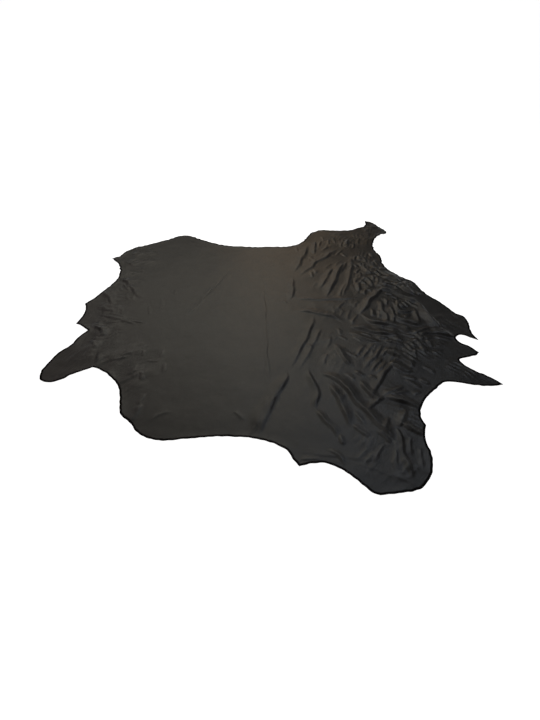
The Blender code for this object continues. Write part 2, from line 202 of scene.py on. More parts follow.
# Main folds, left to right and far to near on each part of the hide. They are the solid's, but the two near
# shank edge ridges are lower here.
FOLDS = (
    Fold("far butt crease", 7, 40, 24, (
        (-1.094, 0.414), (-1.047, 0.368), (-0.999, 0.328), (-0.980, 0.286), (-0.941, 0.242),
        (-0.912, 0.186), (-0.880, 0.148), (-0.830, 0.115))),
    Fold("butt corner crease", 5, 36, 22, (
        (-1.145, 0.230), (-1.112, 0.174), (-1.081, 0.127), (-1.052, 0.079), (-1.015, 0.018))),
    Fold("far hind shank crease", 4, 40, 28, (
        (-1.085, 0.615), (-1.020, 0.568), (-0.982, 0.539), (-0.944, 0.511), (-0.900, 0.472))),
    Fold("near butt ridge", 5, 40, 24, (
        (-1.120, -0.058), (-1.043, -0.084), (-0.994, -0.098), (-0.936, -0.121), (-0.888, -0.144),
        (-0.815, -0.180))),
    Fold("near hind notch pucker", 9, 36, 22, (
        (-1.100, -0.190), (-1.062, -0.204), (-1.031, -0.221), (-1.016, -0.243), (-1.008, -0.275),
        (-1.012, -0.320))),
    Fold("near hind shank root", 7, 34, 22, (
        (-0.974, -0.445), (-0.965, -0.500), (-0.962, -0.525), (-0.972, -0.570), (-0.990, -0.615))),
    Fold("near flank pucker", 4, 28, 18, (
        (-0.815, -0.715), (-0.760, -0.670), (-0.732, -0.646), (-0.705, -0.610))),
    Fold("near flank corner", 7, 32, 20, (
        (-0.692, -0.985), (-0.675, -0.955), (-0.654, -0.917), (-0.648, -0.886), (-0.638, -0.840))),
    Fold("storage crease along the back", 2, 26, 18, (
        (0.002, -0.720), (-0.008, -0.450), (-0.018, -0.100), (-0.035, 0.300))),
    Fold("storage crease across the back", 3, 26, 18, (
        (-0.540, -0.120), (-0.515, -0.045), (-0.485, 0.004), (-0.442, 0.116), (-0.423, 0.173),
        (-0.390, 0.259), (-0.350, 0.320))),
    Fold("belly fold", 9, 54, 26, (
        (-0.056, -1.090), (-0.029, -0.977), (0.008, -0.870), (0.043, -0.775), (0.080, -0.700),
        (0.099, -0.640), (0.075, -0.580))),
    Fold("belly fold, inner ripple", 4, 36, 24, (
        (-0.075, -1.050), (-0.048, -0.950), (-0.016, -0.840), (-0.008, -0.770))),
    Fold("far shoulder fold", 7, 46, 34, (
        (0.180, 0.460), (0.213, 0.560), (0.233, 0.622), (0.251, 0.680), (0.281, 0.775), (0.310, 0.930))),
    Fold("far shoulder fold, foot", 6, 32, 20, (
        (0.134, 0.080), (0.160, 0.173), (0.169, 0.229), (0.165, 0.276), (0.171, 0.333), (0.166, 0.395))),
    Fold("far shoulder wave", 6, 34, 26, (
        (0.205, 0.385), (0.240, 0.444), (0.287, 0.510), (0.326, 0.555), (0.344, 0.604), (0.402, 0.664),
        (0.442, 0.700), (0.478, 0.768), (0.516, 0.806), (0.565, 0.865))),
    Fold("far shank root ripple", 7, 32, 20, (
        (0.352, 0.735), (0.359, 0.810), (0.364, 0.857), (0.373, 0.905), (0.379, 0.985))),
    Fold("neck fold, first", 6, 34, 24, (
        (0.345, 0.225), (0.400, 0.346), (0.419, 0.403), (0.438, 0.451), (0.457, 0.498), (0.475, 0.565))),
    Fold("neck fold, main", 11, 46, 26, (
        (0.372, 0.115), (0.402, 0.174), (0.438, 0.270), (0.462, 0.327), (0.490, 0.422), (0.519, 0.508),
        (0.545, 0.580), (0.562, 0.640))),
    Fold("neck fold, last", 7, 26, 26, (
        (0.480, 0.090), (0.508, 0.172), (0.536, 0.248), (0.565, 0.343), (0.584, 0.419), (0.603, 0.495),
        (0.622, 0.600), (0.648, 0.770))),
    Fold("far shank ripple", 6, 30, 20, (
        (0.612, 0.850), (0.630, 0.920), (0.645, 0.995))),
    Fold("neck crossing", 5, 28, 18, (
        (0.150, 0.112), (0.240, 0.112), (0.340, 0.101), (0.500, 0.106), (0.620, 0.112))),
    Fold("neck crossing, near", 7, 36, 20, (
        (0.165, -0.033), (0.236, -0.039), (0.284, -0.048), (0.325, -0.062), (0.363, -0.081),
        (0.412, -0.101), (0.441, -0.124), (0.468, -0.165))),
    Fold("wither fold", 14, 40, 26, (
        (0.575, -0.085), (0.602, -0.040), (0.635, 0.010), (0.673, 0.082), (0.706, 0.120),
        (0.734, 0.168), (0.768, 0.210), (0.790, 0.250))),
    Fold("cheek wrinkle, outer", 9, 50, 26, (
        (0.780, 0.525), (0.814, 0.482), (0.842, 0.444), (0.873, 0.416), (0.930, 0.365))),
    Fold("cheek wrinkle, middle", 11, 46, 24, (
        (0.798, 0.412), (0.832, 0.387), (0.870, 0.358), (0.899, 0.330), (0.930, 0.290))),
    Fold("cheek wrinkle, inner", 13, 54, 26, (
        (0.855, 0.302), (0.896, 0.272), (0.929, 0.225), (0.967, 0.177), (1.005, 0.150))),
    Fold("cheek wrinkle, near", 13, 60, 30, (
        (0.845, 0.178), (0.893, 0.140), (0.938, 0.092), (0.975, 0.035))),
    Fold("cheek knuckle", 9, 26, 20, (
        (0.772, 0.282), (0.825, 0.272), (0.868, 0.250), (0.890, 0.210))),
    Fold("cheek knuckle, near", 11, 30, 24, (
        (0.755, 0.228), (0.812, 0.212), (0.850, 0.185), (0.872, 0.145))),
    Fold("pate wrinkle, far", 9, 28, 20, (
        (0.748, 0.425), (0.720, 0.478), (0.709, 0.520), (0.714, 0.580))),
    Fold("pate wrinkle, middle", 11, 26, 20, (
        (0.724, 0.245), (0.719, 0.290), (0.715, 0.326), (0.702, 0.375), (0.685, 0.405))),
    Fold("pate wrinkle, near", 9, 26, 20, (
        (0.615, 0.190), (0.624, 0.260), (0.624, 0.330))),
    Fold("face ridge", 17, 46, 30, (
        (1.072, -0.262), (1.047, -0.182), (1.028, -0.134), (1.009, -0.086), (0.995, -0.028),
        (0.990, 0.030), (0.968, 0.110))),
    Fold("face wrinkle", 8, 26, 20, (
        (0.920, -0.200), (0.937, -0.140), (0.941, -0.100), (0.944, -0.046), (0.925, 0.010))),
    Fold("crown wrinkle, left", 11, 26, 22, (
        (0.718, -0.205), (0.737, -0.143), (0.742, -0.093), (0.733, -0.046), (0.740, 0.030),
        (0.730, 0.100))),
    Fold("crown wrinkle, right", 10, 26, 20, (
        (0.845, 0.110), (0.843, 0.040), (0.835, -0.006), (0.842, -0.040), (0.870, -0.053),
        (0.912, -0.047), (0.955, -0.030))),
    Fold("eye fold", 13, 34, 24, (
        (0.772, -0.088), (0.801, -0.114), (0.831, -0.138), (0.868, -0.162), (0.905, -0.185),
        (0.960, -0.195))),
    Fold("throat fold, first", 13, 40, 24, (
        (0.586, -0.060), (0.607, -0.105), (0.643, -0.166), (0.695, -0.182), (0.772, -0.200),
        (0.813, -0.230), (0.845, -0.280), (0.852, -0.320))),
    Fold("throat fold, second", 13, 44, 24, (
        (0.490, -0.190), (0.525, -0.210), (0.573, -0.229), (0.620, -0.258), (0.676, -0.281),
        (0.716, -0.291), (0.785, -0.300))),
    Fold("throat fold, third", 8, 34, 22, (
        (0.480, -0.255), (0.527, -0.293), (0.566, -0.324), (0.606, -0.350), (0.665, -0.372))),
    Fold("throat fold, fourth", 9, 28, 20, (
        (0.680, -0.348), (0.725, -0.362), (0.764, -0.381), (0.795, -0.410))),
    Fold("jaw knuckle", 10, 26, 20, (
        (0.862, -0.298), (0.880, -0.278), (0.908, -0.259), (0.957, -0.229), (1.000, -0.212))),
    Fold("jaw ripple", 8, 26, 20, (
        (0.850, -0.318), (0.880, -0.365), (0.893, -0.415), (0.894, -0.460))),
    Fold("cheek root", 7, 46, 34, (
        (0.980, -0.250), (1.050, -0.262), (1.120, -0.290))),
    Fold("brisket crease", 7, 34, 20, (
        (0.120, -0.600), (0.144, -0.520), (0.173, -0.434), (0.211, -0.357), (0.235, -0.281),
        (0.259, -0.205), (0.280, -0.118), (0.290, -0.060))),
    Fold("brisket crease, beside", 4, 30, 18, (
        (0.160, -0.620), (0.187, -0.558), (0.230, -0.452), (0.273, -0.347), (0.306, -0.262),
        (0.350, -0.180))),
    Fold("brisket hollow", 8, 36, 26, (
        (0.382, -0.362), (0.396, -0.406), (0.415, -0.453), (0.425, -0.500), (0.438, -0.536),
        (0.478, -0.580))),
    Fold("point of shoulder", 12, 42, 24, (
        (0.668, -0.395), (0.686, -0.436), (0.709, -0.464), (0.736, -0.487), (0.766, -0.516),
        (0.787, -0.540), (0.805, -0.590))),
    Fold("point of shoulder, near", 9, 42, 28, (
        (0.672, -0.530), (0.712, -0.568), (0.755, -0.603), (0.800, -0.628))),
    Fold("near shoulder diagonal", 9, 34, 20, (
        (0.518, -0.835), (0.536, -0.794), (0.565, -0.737), (0.593, -0.689), (0.641, -0.612),
        (0.688, -0.550), (0.718, -0.510))),
    Fold("near shoulder sweep", 12, 46, 26, (
        (0.262, -0.598), (0.290, -0.622), (0.337, -0.655), (0.382, -0.697), (0.415, -0.757),
        (0.434, -0.813), (0.462, -0.869), (0.491, -0.917), (0.519, -0.965), (0.540, -1.004),
        (0.577, -1.060), (0.602, -1.125))),
    Fold("near shoulder pucker", 10, 30, 24, (
        (0.490, -0.675), (0.495, -0.708), (0.501, -0.739), (0.520, -0.776), (0.545, -0.813),
        (0.565, -0.845))),
    Fold("brisket ripple, first", 7, 34, 22, (
        (0.240, -0.910), (0.239, -0.840), (0.252, -0.798), (0.255, -0.760), (0.248, -0.712),
        (0.234, -0.672), (0.220, -0.634), (0.218, -0.560))),
    Fold("brisket ripple, second", 8, 36, 24, (
        (0.306, -0.680), (0.323, -0.718), (0.338, -0.757), (0.357, -0.805), (0.367, -0.863),
        (0.381, -0.920), (0.386, -0.970), (0.388, -1.020))),
    Fold("brisket ripple, third", 6, 30, 20, (
        (0.232, -0.880), (0.247, -0.909), (0.266, -0.938), (0.285, -0.976), (0.309, -1.009),
        (0.328, -1.070))),
    Fold("near shank root", 7, 26, 18, (
        (0.490, -0.900), (0.508, -0.880), (0.537, -0.851), (0.566, -0.827), (0.600, -0.806))),
    Fold("near shank crossing", 9, 32, 22, (
        (0.575, -0.806), (0.600, -0.809), (0.648, -0.824), (0.696, -0.839), (0.735, -0.863),
        (0.780, -0.900))),
    Fold("near shank fork", 8, 28, 20, (
        (0.620, -1.015), (0.649, -0.967), (0.668, -0.928), (0.690, -0.880))),
    Fold("near shank pucker", 9, 30, 20, (
        (0.634, -0.972), (0.656, -0.993), (0.680, -1.021), (0.709, -1.040), (0.738, -1.065))),
    Fold("near shank length", 7, 28, 18, (
        (0.630, -1.310), (0.624, -1.210), (0.612, -1.150), (0.621, -1.093), (0.619, -1.046),
        (0.605, -0.985))),
    Fold("near shank edge ridge", 1.5, 30, 18, (
        (0.110, -1.148), (0.189, -1.156), (0.284, -1.168), (0.350, -1.178), (0.450, -1.192),
        (0.530, -1.208))),
    Fold("near shank edge ridge, low", 1.5, 26, 16, (
        (0.375, -1.208), (0.457, -1.240), (0.506, -1.259), (0.563, -1.287), (0.635, -1.330))),
)

SWELLS = (
    Swell("fore part", 0.480, -0.080, 0.800, 1.250, 5),
    Swell("wrinkled neck", 0.760, 0.180, 0.400, 0.520, 9),
    Swell("throat", 0.750, -0.300, 0.380, 0.300, 7),
    Swell("near shoulder", 0.540, -0.830, 0.300, 0.420, 5),
    Swell("face", 0.985, -0.100, 0.210, 0.320, 7),
    Swell("far fore shank", 0.850, 1.080, 0.240, 0.300, 8),
    Swell("near hind shank", -1.060, -0.400, 0.240, 0.260, 6),
)

# Small creases, by the part of the hide that they lie on.
CREASES = {
    "far shoulder": (
        Crease(3, 20, 12, ((0.228, 0.790), (0.220, 0.830), (0.212, 0.880))),
        Crease(4, 22, 14, ((0.520, 0.440), (0.545, 0.510), (0.565, 0.570), (0.590, 0.625))),
        Crease(4, 20, 12, ((0.470, 0.110), (0.490, 0.180), (0.516, 0.250), (0.540, 0.320))),
        Crease(3, 20, 12, ((0.300, 0.480), (0.305, 0.440), (0.310, 0.390))),
        Crease(3, 20, 12, ((0.322, 0.520), (0.334, 0.480), (0.338, 0.440))),
        Crease(3, 22, 12, ((0.300, 0.720), (0.330, 0.660), (0.352, 0.625))),
        Crease(3, 22, 14, ((0.415, 0.800), (0.450, 0.840), (0.475, 0.880))),
        Crease(4, 18, 12, ((0.400, 0.870), (0.410, 0.930), (0.425, 0.990))),
        Crease(4, 18, 12, ((0.440, 0.960), (0.447, 1.010), (0.440, 1.060))),
        Crease(4, 18, 12, ((0.480, 0.900), (0.485, 0.960), (0.495, 1.010))),
        Crease(4, 18, 12, ((0.530, 0.930), (0.535, 0.980), (0.530, 1.040))),
        Crease(4, 18, 12, ((0.575, 0.860), (0.585, 0.910), (0.600, 0.950))),
        Crease(5, 20, 12, ((0.620, 0.910), (0.642, 0.950), (0.655, 0.990))),
        Crease(4, 18, 12, ((0.672, 0.850), (0.680, 0.900), (0.690, 0.940))),
        Crease(4, 18, 14, ((0.720, 0.920), (0.730, 0.980), (0.750, 1.030))),
        Crease(4, 18, 14, ((0.560, 0.780), (0.580, 0.730), (0.600, 0.700))),
        Crease(4, 18, 12, ((0.520, 0.730), (0.550, 0.770), (0.590, 0.830))),
    ),
    "pate": (
        Crease(6, 22, 14, ((0.622, 0.592), (0.640, 0.565), (0.655, 0.530))),
        Crease(6, 22, 14, ((0.660, 0.600), (0.680, 0.580), (0.690, 0.545))),
        Crease(6, 20, 13, ((0.640, 0.332), (0.658, 0.308), (0.678, 0.282))),
        Crease(5, 18, 12, ((0.670, 0.348), (0.685, 0.370), (0.700, 0.395))),
        Crease(7, 24, 14, ((0.768, 0.478), (0.790, 0.445), (0.802, 0.400))),
        Crease(8, 24, 14, ((0.792, 0.510), (0.783, 0.540), (0.780, 0.585), (0.797, 0.615))),
        Crease(6, 22, 14, ((0.738, 0.620), (0.730, 0.660), (0.724, 0.705))),
        Crease(6, 22, 14, ((0.690, 0.640), (0.700, 0.680), (0.690, 0.725))),
        Crease(6, 22, 14, ((0.650, 0.640), (0.660, 0.690), (0.680, 0.720))),
        Crease(6, 20, 14, ((0.740, 0.330), (0.748, 0.380), (0.738, 0.420))),
        Crease(6, 20, 14, ((0.765, 0.320), (0.775, 0.370), (0.770, 0.420))),
        Crease(5, 20, 13, ((0.655, 0.380), (0.665, 0.420), (0.660, 0.460))),
        Crease(5, 20, 13, ((0.632, 0.440), (0.650, 0.480), (0.672, 0.500))),
        Crease(6, 20, 14, ((0.668, 0.230), (0.682, 0.210), (0.705, 0.200))),
        Crease(5, 20, 13, ((0.640, 0.150), (0.655, 0.190), (0.680, 0.240))),
        Crease(6, 22, 14, ((0.800, 0.660), (0.808, 0.610), (0.820, 0.570))),
        Crease(5, 20, 14, ((0.780, 0.780), (0.790, 0.730), (0.800, 0.690))),
        Crease(6, 24, 14, ((0.800, 0.540), (0.830, 0.520), (0.860, 0.500))),
    ),
    "far cheek": (
        Crease(9, 24, 16, ((0.972, 0.175), (0.960, 0.225), (0.962, 0.276), (0.960, 0.345))),
        Crease(9, 44, 18, ((0.905, -0.262), (0.973, -0.270), (1.050, -0.280), (1.130, -0.302))),
        Crease(6, 18, 14, ((0.928, 0.215), (0.935, 0.260), (0.942, 0.300))),
        Crease(7, 18, 14, ((0.985, 0.240), (0.990, 0.280), (0.996, 0.320))),
        Crease(6, 24, 14, ((0.830, 0.425), (0.870, 0.390), (0.910, 0.350), (0.940, 0.325))),
        Crease(6, 22, 14, ((0.815, 0.335), (0.850, 0.312), (0.885, 0.295))),
        Crease(6, 22, 14, ((0.905, 0.400), (0.930, 0.380), (0.960, 0.345))),
        Crease(6, 20, 14, ((0.780, 0.165), (0.810, 0.160), (0.835, 0.140))),
        Crease(6, 20, 14, ((0.805, 0.120), (0.830, 0.115), (0.860, 0.090))),
        Crease(6, 22, 14, ((1.000, 0.220), (1.010, 0.180), (1.030, 0.150))),
    ),
    "crown": (
        Crease(7, 24, 16, ((0.778, -0.190), (0.788, -0.122), (0.797, -0.046), (0.790, 0.020))),
        Crease(6, 22, 14, ((0.772, 0.020), (0.778, 0.070), (0.770, 0.120))),
        Crease(6, 22, 13, ((0.900, 0.100), (0.925, 0.055), (0.944, 0.015), (0.968, -0.020))),
        Crease(6, 20, 13, ((0.880, 0.075), (0.890, 0.040), (0.905, 0.000))),
        Crease(6, 20, 14, ((0.862, 0.050), (0.866, 0.010), (0.880, -0.020))),
        Crease(5, 20, 14, ((0.860, -0.110), (0.880, -0.090), (0.905, -0.085))),
        Crease(6, 20, 14, ((0.700, -0.020), (0.703, -0.070), (0.690, -0.120))),
        Crease(5, 20, 14, ((0.660, -0.010), (0.662, -0.060), (0.655, -0.100))),
        Crease(4, 20, 12, ((0.512, -0.180), (0.540, -0.125), (0.575, -0.065))),
        Crease(3, 18, 12, ((0.490, -0.140), (0.510, -0.070), (0.535, 0.000))),
        Crease(3, 18, 12, ((0.550, 0.000), (0.570, 0.040), (0.600, 0.080))),
        Crease(3, 18, 12, ((0.440, -0.020), (0.470, 0.030), (0.500, 0.070))),
    ),
    "throat": (
        Crease(7, 20, 14, ((0.872, -0.288), (0.885, -0.304), (0.900, -0.328), (0.906, -0.352))),
        Crease(6, 20, 14, ((0.930, -0.325), (0.940, -0.360), (0.955, -0.405))),
        Crease(6, 20, 14, ((0.905, -0.300), (0.930, -0.280), (0.960, -0.275))),
        Crease(7, 24, 14, ((0.800, -0.185), (0.830, -0.215), (0.855, -0.245))),
        Crease(5, 24, 14, ((1.000, -0.270), (1.060, -0.290), (1.110, -0.305))),
        Crease(5, 24, 14, ((0.985, -0.305), (1.040, -0.320), (1.090, -0.330))),
        Crease(4, 24, 14, ((0.970, -0.225), (1.030, -0.235), (1.100, -0.262))),
        Crease(5, 20, 13, ((0.740, -0.325), (0.770, -0.340), (0.800, -0.345))),
        Crease(5, 20, 13, ((0.810, -0.350), (0.835, -0.375), (0.850, -0.410))),
        Crease(6, 22, 14, ((0.790, -0.360), (0.810, -0.395), (0.822, -0.440))),
        Crease(5, 20, 13, ((0.640, -0.312), (0.680, -0.325), (0.720, -0.330))),
        Crease(4, 20, 12, ((0.540, -0.265), (0.580, -0.285), (0.620, -0.310))),
        Crease(3, 18, 12, ((0.415, -0.290), (0.435, -0.310), (0.462, -0.340))),
        Crease(3, 18, 12, ((0.500, -0.300), (0.530, -0.330), (0.555, -0.362))),
        Crease(3, 18, 12, ((0.420, -0.210), (0.428, -0.250), (0.430, -0.290))),
    ),
    "point of shoulder": (
        Crease(5, 24, 13, (
            (0.508, -0.615), (0.556, -0.546), (0.604, -0.488), (0.642, -0.431), (0.684, -0.362))),
        Crease(4, 20, 12, ((0.555, -0.615), (0.605, -0.550), (0.650, -0.490))),
        Crease(5, 22, 13, ((0.515, -0.520), (0.555, -0.466), (0.595, -0.414), (0.632, -0.365))),
        Crease(4, 20, 12, ((0.495, -0.480), (0.535, -0.425), (0.575, -0.380))),
        Crease(4, 20, 12, ((0.590, -0.625), (0.640, -0.560), (0.665, -0.520))),
        Crease(5, 20, 12, ((0.650, -0.480), (0.668, -0.450), (0.695, -0.420))),
        Crease(6, 20, 14, ((0.830, -0.500), (0.836, -0.460), (0.850, -0.420))),
        Crease(6, 22, 14, ((0.772, -0.405), (0.800, -0.440), (0.820, -0.480))),
        Crease(6, 22, 14, ((0.755, -0.440), (0.785, -0.470), (0.815, -0.510), (0.850, -0.535))),
        Crease(6, 20, 14, ((0.540, -0.646), (0.556, -0.662), (0.575, -0.685))),
        Crease(5, 22, 14, ((0.470, -0.600), (0.495, -0.640), (0.520, -0.660))),
        Crease(3, 20, 12, ((0.445, -0.430), (0.470, -0.470), (0.505, -0.500))),
        Crease(3, 20, 12, ((0.410, -0.620), (0.440, -0.655), (0.455, -0.690))),
        Crease(2.5, 16, 11, ((0.200, -0.372), (0.225, -0.385), (0.260, -0.402))),
        Crease(3, 22, 12, ((0.330, -0.420), (0.360, -0.350), (0.380, -0.290))),
        Crease(3, 22, 12, ((0.300, -0.560), (0.320, -0.500), (0.345, -0.450))),
        Crease(5, 24, 14, ((0.850, -0.560), (0.880, -0.590), (0.900, -0.630))),
        Crease(5, 24, 14, ((0.730, -0.640), (0.760, -0.665), (0.800, -0.670))),
    ),
    "near shank": (
        Crease(6, 22, 14, ((0.725, -0.675), (0.748, -0.690), (0.775, -0.716), (0.812, -0.738))),
        Crease(6, 22, 14, ((0.800, -0.665), (0.830, -0.690), (0.860, -0.715))),
        Crease(5, 22, 13, ((0.572, -0.806), (0.632, -0.772), (0.688, -0.744), (0.722, -0.712))),
        Crease(4, 20, 12, ((0.620, -0.790), (0.680, -0.778), (0.740, -0.760))),
        Crease(4, 20, 12, ((0.745, -0.790), (0.770, -0.775), (0.800, -0.765))),
        Crease(6, 20, 13, ((0.550, -1.030), (0.573, -0.977), (0.598, -0.940))),
        Crease(-3, 16, 36, ((0.590, -0.826), (0.646, -0.840), (0.693, -0.855), (0.740, -0.885))),
        Crease(4, 20, 12, ((0.400, -0.985), (0.440, -1.030), (0.480, -1.070))),
        Crease(5, 20, 12, ((0.506, -1.025), (0.541, -1.058), (0.575, -1.110))),
        Crease(4, 20, 12, ((0.468, -1.210), (0.505, -1.155), (0.541, -1.100))),
        Crease(5, 18, 12, ((0.343, -1.040), (0.340, -1.075), (0.346, -1.115))),
        Crease(4, 18, 12, ((0.262, -1.125), (0.303, -1.155), (0.325, -1.190), (0.338, -1.225))),
        Crease(4, 20, 12, ((0.650, -1.180), (0.655, -1.110), (0.670, -1.060))),
        Crease(4, 20, 12, ((0.560, -1.240), (0.575, -1.180), (0.590, -1.120))),
        Crease(3, 18, 12, ((0.680, -1.250), (0.690, -1.180), (0.700, -1.110))),
        Crease(3, 18, 12, ((0.140, -1.190), (0.190, -1.185), (0.240, -1.190))),
        Crease(3, 22, 12, ((0.420, -0.900), (0.440, -0.950), (0.470, -1.000))),
    ),
    "back": (
        Crease(-1.4, 6, 8, (
            (0.020, -0.785), (0.009, -0.630), (-0.005, -0.371), (-0.012, -0.225), (-0.017, -0.009),
            (-0.031, 0.234), (-0.038, 0.430))),
        Crease(-0.9, 6, 8, ((-0.025, -0.710), (-0.021, -0.550), (-0.017, -0.415))),
        Crease(-2.0, 7, 12, (
            (-0.280, 0.550), (-0.326, 0.409), (-0.370, 0.282), (-0.427, 0.145), (-0.469, 0.049),
            (-0.530, -0.098))),
        Crease(-1.4, 7, 12, ((-0.628, 0.155), (-0.666, 0.195), (-0.700, 0.240))),
        Crease(1.8, 16, 12, ((-0.790, 0.060), (-0.780, -0.036), (-0.755, -0.090))),
        Crease(1.4, 16, 12, ((-0.720, 0.150), (-0.710, -0.030))),
        Crease(1.4, 14, 12, ((-0.655, 0.235), (-0.645, 0.165))),
        Crease(2, 14, 12, ((0.085, 0.085), (0.120, 0.062))),
        Crease(2, 18, 12, ((-0.695, -0.514), (-0.655, -0.518), (-0.610, -0.520))),
        Crease(2, 18, 12, ((-0.585, -0.530), (-0.582, -0.570), (-0.580, -0.620))),
    ),
    "hindquarters": (
        Crease(3, 22, 12, ((-1.040, -0.042), (-1.000, -0.058), (-0.948, -0.080), (-0.900, -0.110))),
        Crease(3, 22, 12, ((-0.900, -0.115), (-0.850, -0.135), (-0.770, -0.160))),
        Crease(3, 20, 13, ((-0.995, -0.330), (-0.948, -0.290), (-0.915, -0.230))),
        Crease(4, 20, 13, ((-1.100, -0.195), (-1.070, -0.180), (-1.040, -0.155))),
        Crease(3, 20, 12, ((-0.850, -0.478), (-0.820, -0.458), (-0.785, -0.440))),
        Crease(3, 20, 12, ((-0.900, -0.520), (-0.850, -0.500), (-0.790, -0.475))),
        Crease(3, 18, 12, ((-0.728, -0.425), (-0.724, -0.450), (-0.722, -0.480))),
        Crease(2, 16, 12, ((-0.612, -0.420), (-0.616, -0.450), (-0.625, -0.490))),
        Crease(4, 20, 13, ((-0.702, -0.600), (-0.692, -0.630), (-0.690, -0.680))),
        Crease(3, 18, 12, ((-0.770, -0.640), (-0.750, -0.615), (-0.730, -0.585))),
        Crease(3, 20, 12, ((-0.660, -0.860), (-0.655, -0.820), (-0.640, -0.770))),
        Crease(2.5, 18, 13, ((-0.576, -0.975), (-0.555, -0.935), (-0.520, -0.912), (-0.480, -0.905))),
        Crease(2, 16, 12, ((-0.180, -0.895), (-0.145, -0.930), (-0.115, -0.960))),
        Crease(3, 16, 12, ((-0.074, -0.985), (-0.080, -1.015), (-0.092, -1.050))),
        Crease(2, 24, 14, ((-1.040, 0.330), (-0.990, 0.250), (-0.950, 0.170))),
        Crease(2, 24, 14, ((-1.090, 0.030), (-1.060, -0.010), (-1.020, -0.040))),
        Crease(3, 26, 16, ((-1.070, -0.330), (-1.030, -0.370), (-1.010, -0.420))),
    ),
}

# Patches of small wrinkles, on all parts but the plain back.
CRUMPLES = (
    Crumple("pate, far", 0.740, 0.580, 0.190, 0.260, 70, 34, 4.8),
    Crumple("pate, near", 0.690, 0.300, 0.180, 0.220, 74, 32, 4.8),
    Crumple("far cheek", 0.900, 0.230, 0.190, 0.240, -46, 32, 5.2),
    Crumple("crown", 0.820, -0.020, 0.170, 0.170, 84, 32, 4.2),
    Crumple("throat", 0.800, -0.240, 0.260, 0.180, -30, 32, 5.2),
    Crumple("jaw", 0.920, -0.380, 0.150, 0.160, -60, 32, 4.2),
    Crumple("point of shoulder", 0.670, -0.500, 0.260, 0.220, 52, 34, 4.0),
    Crumple("near shank", 0.640, -0.900, 0.220, 0.260, -35, 36, 3.6),
    Crumple("near shank, end", 0.560, -1.160, 0.260, 0.200, 48, 40, 3.0),
    Crumple("far shank", 0.640, 0.980, 0.300, 0.200, 78, 34, 3.6),
    Crumple("far shank, end", 0.890, 1.160, 0.140, 0.220, 70, 26, 4.2),
    Crumple("far shoulder", 0.400, 0.560, 0.280, 0.480, 66, 44, 1.8),
    Crumple("neck", 0.480, 0.020, 0.260, 0.300, 66, 44, 1.8),
    Crumple("brisket", 0.350, -0.560, 0.300, 0.460, 62, 46, 1.8),
    Crumple("far butt", -1.020, 0.200, 0.180, 0.480, -52, 40, 4.6),
    Crumple("near butt", -1.040, -0.250, 0.190, 0.300, 30, 40, 5.0),
    Crumple("near flank", -0.800, -0.560, 0.300, 0.300, 40, 44, 4.0),
    Crumple("far hind shank", -1.000, 0.720, 0.240, 0.240, 40, 40, 4.0),
    Crumple("near hind shank", -1.110, -0.500, 0.150, 0.190, 50, 36, 3.4),
    Crumple("face, outer", 1.130, -0.130, 0.150, 0.170, -50, 36, 3.4),
    Crumple("near fore point", 1.060, -0.580, 0.160, 0.110, -40, 34, 3.0),
)


def smooth_run(places: np.ndarray | tuple, step: float) -> np.ndarray:
    """Points on a smooth curve through the places, both ends included.

    Each span is a cubic whose slope at a place is the mean of the slopes of the spans beside it.

    Args:
        places: The curve's own points, in order.
        step: The distance between two points of the result, about.

    Returns:
        One row of x and y for each point.
    """
    knots = np.array(places, float)
    reach = np.concatenate([[0.0], np.cumsum(np.linalg.norm(np.diff(knots, axis=0), axis=1))])
    slope = np.gradient(knots, reach, axis=0)
    at = np.linspace(0.0, reach[-1], max(2, round(reach[-1] / step) + 1))
    span = np.clip(np.searchsorted(reach, at, side="right") - 1, 0, len(knots) - 2)
    length = (reach[span + 1] - reach[span])[:, None]
    t = (at[:, None] - reach[span][:, None]) / length
    start = knots[span] * (2 * t**3 - 3 * t**2 + 1) + slope[span] * length * (t**3 - 2 * t**2 + t)
    end = knots[span + 1] * (3 * t**2 - 2 * t**3) + slope[span + 1] * length * (t**3 - t**2)
    return start + end


def half_wave(t: np.ndarray) -> np.ndarray:
    """1 at t = 0, falling as half a cosine wave to 0 at t = 1 and beyond."""
    return 0.5 + 0.5 * np.cos(math.pi * np.clip(t, 0.0, 1.0))


def crest(t: np.ndarray, power: np.ndarray | float) -> np.ndarray:
    """1 at t = 0, falling as a power to 0 at t = 1 and beyond, with its peak rounded over a small share."""
    eased = np.sqrt(np.clip(t, 0.0, 1.0) ** 2 + PEAK_SHARE**2) - PEAK_SHARE
    left = 1 - eased / (math.sqrt(1 + PEAK_SHARE**2) - PEAK_SHARE)
    return np.maximum(left, 0.0) ** power


def path_distance(points: np.ndarray, path: np.ndarray) -> tuple[np.ndarray, np.ndarray]:
    """How far each point lies from a path, and how far along it.

    Args:
        points: One row of x and y for each point.
        path: The path's points, close together.

    Returns:
        The signed distance of each point, positive on the path's left, and the share of the path behind it.
    """
    starts, ends = path[:-1], path[1:]
    lengths = np.linalg.norm(ends - starts, axis=1)
    reach = np.concatenate([[0.0], np.cumsum(lengths)])
    best = np.full(len(points), np.inf)
    side = np.ones(len(points))
    share = np.zeros(len(points))
    for number, (start, end) in enumerate(zip(starts, ends)):
        along = (end - start) / lengths[number]
        offset = points - start
        t = np.clip(offset @ along, 0.0, lengths[number])
        distance = np.linalg.norm(offset - t[:, None] * along, axis=1)
        nearer = distance < best
        best[nearer] = distance[nearer]
        cross = along[0] * offset[:, 1] - along[1] * offset[:, 0]
        side[nearer] = np.where(cross[nearer] >= 0, 1.0, -1.0)
        share[nearer] = (reach[number] + t[nearer]) / reach[-1]
    return best * side, share


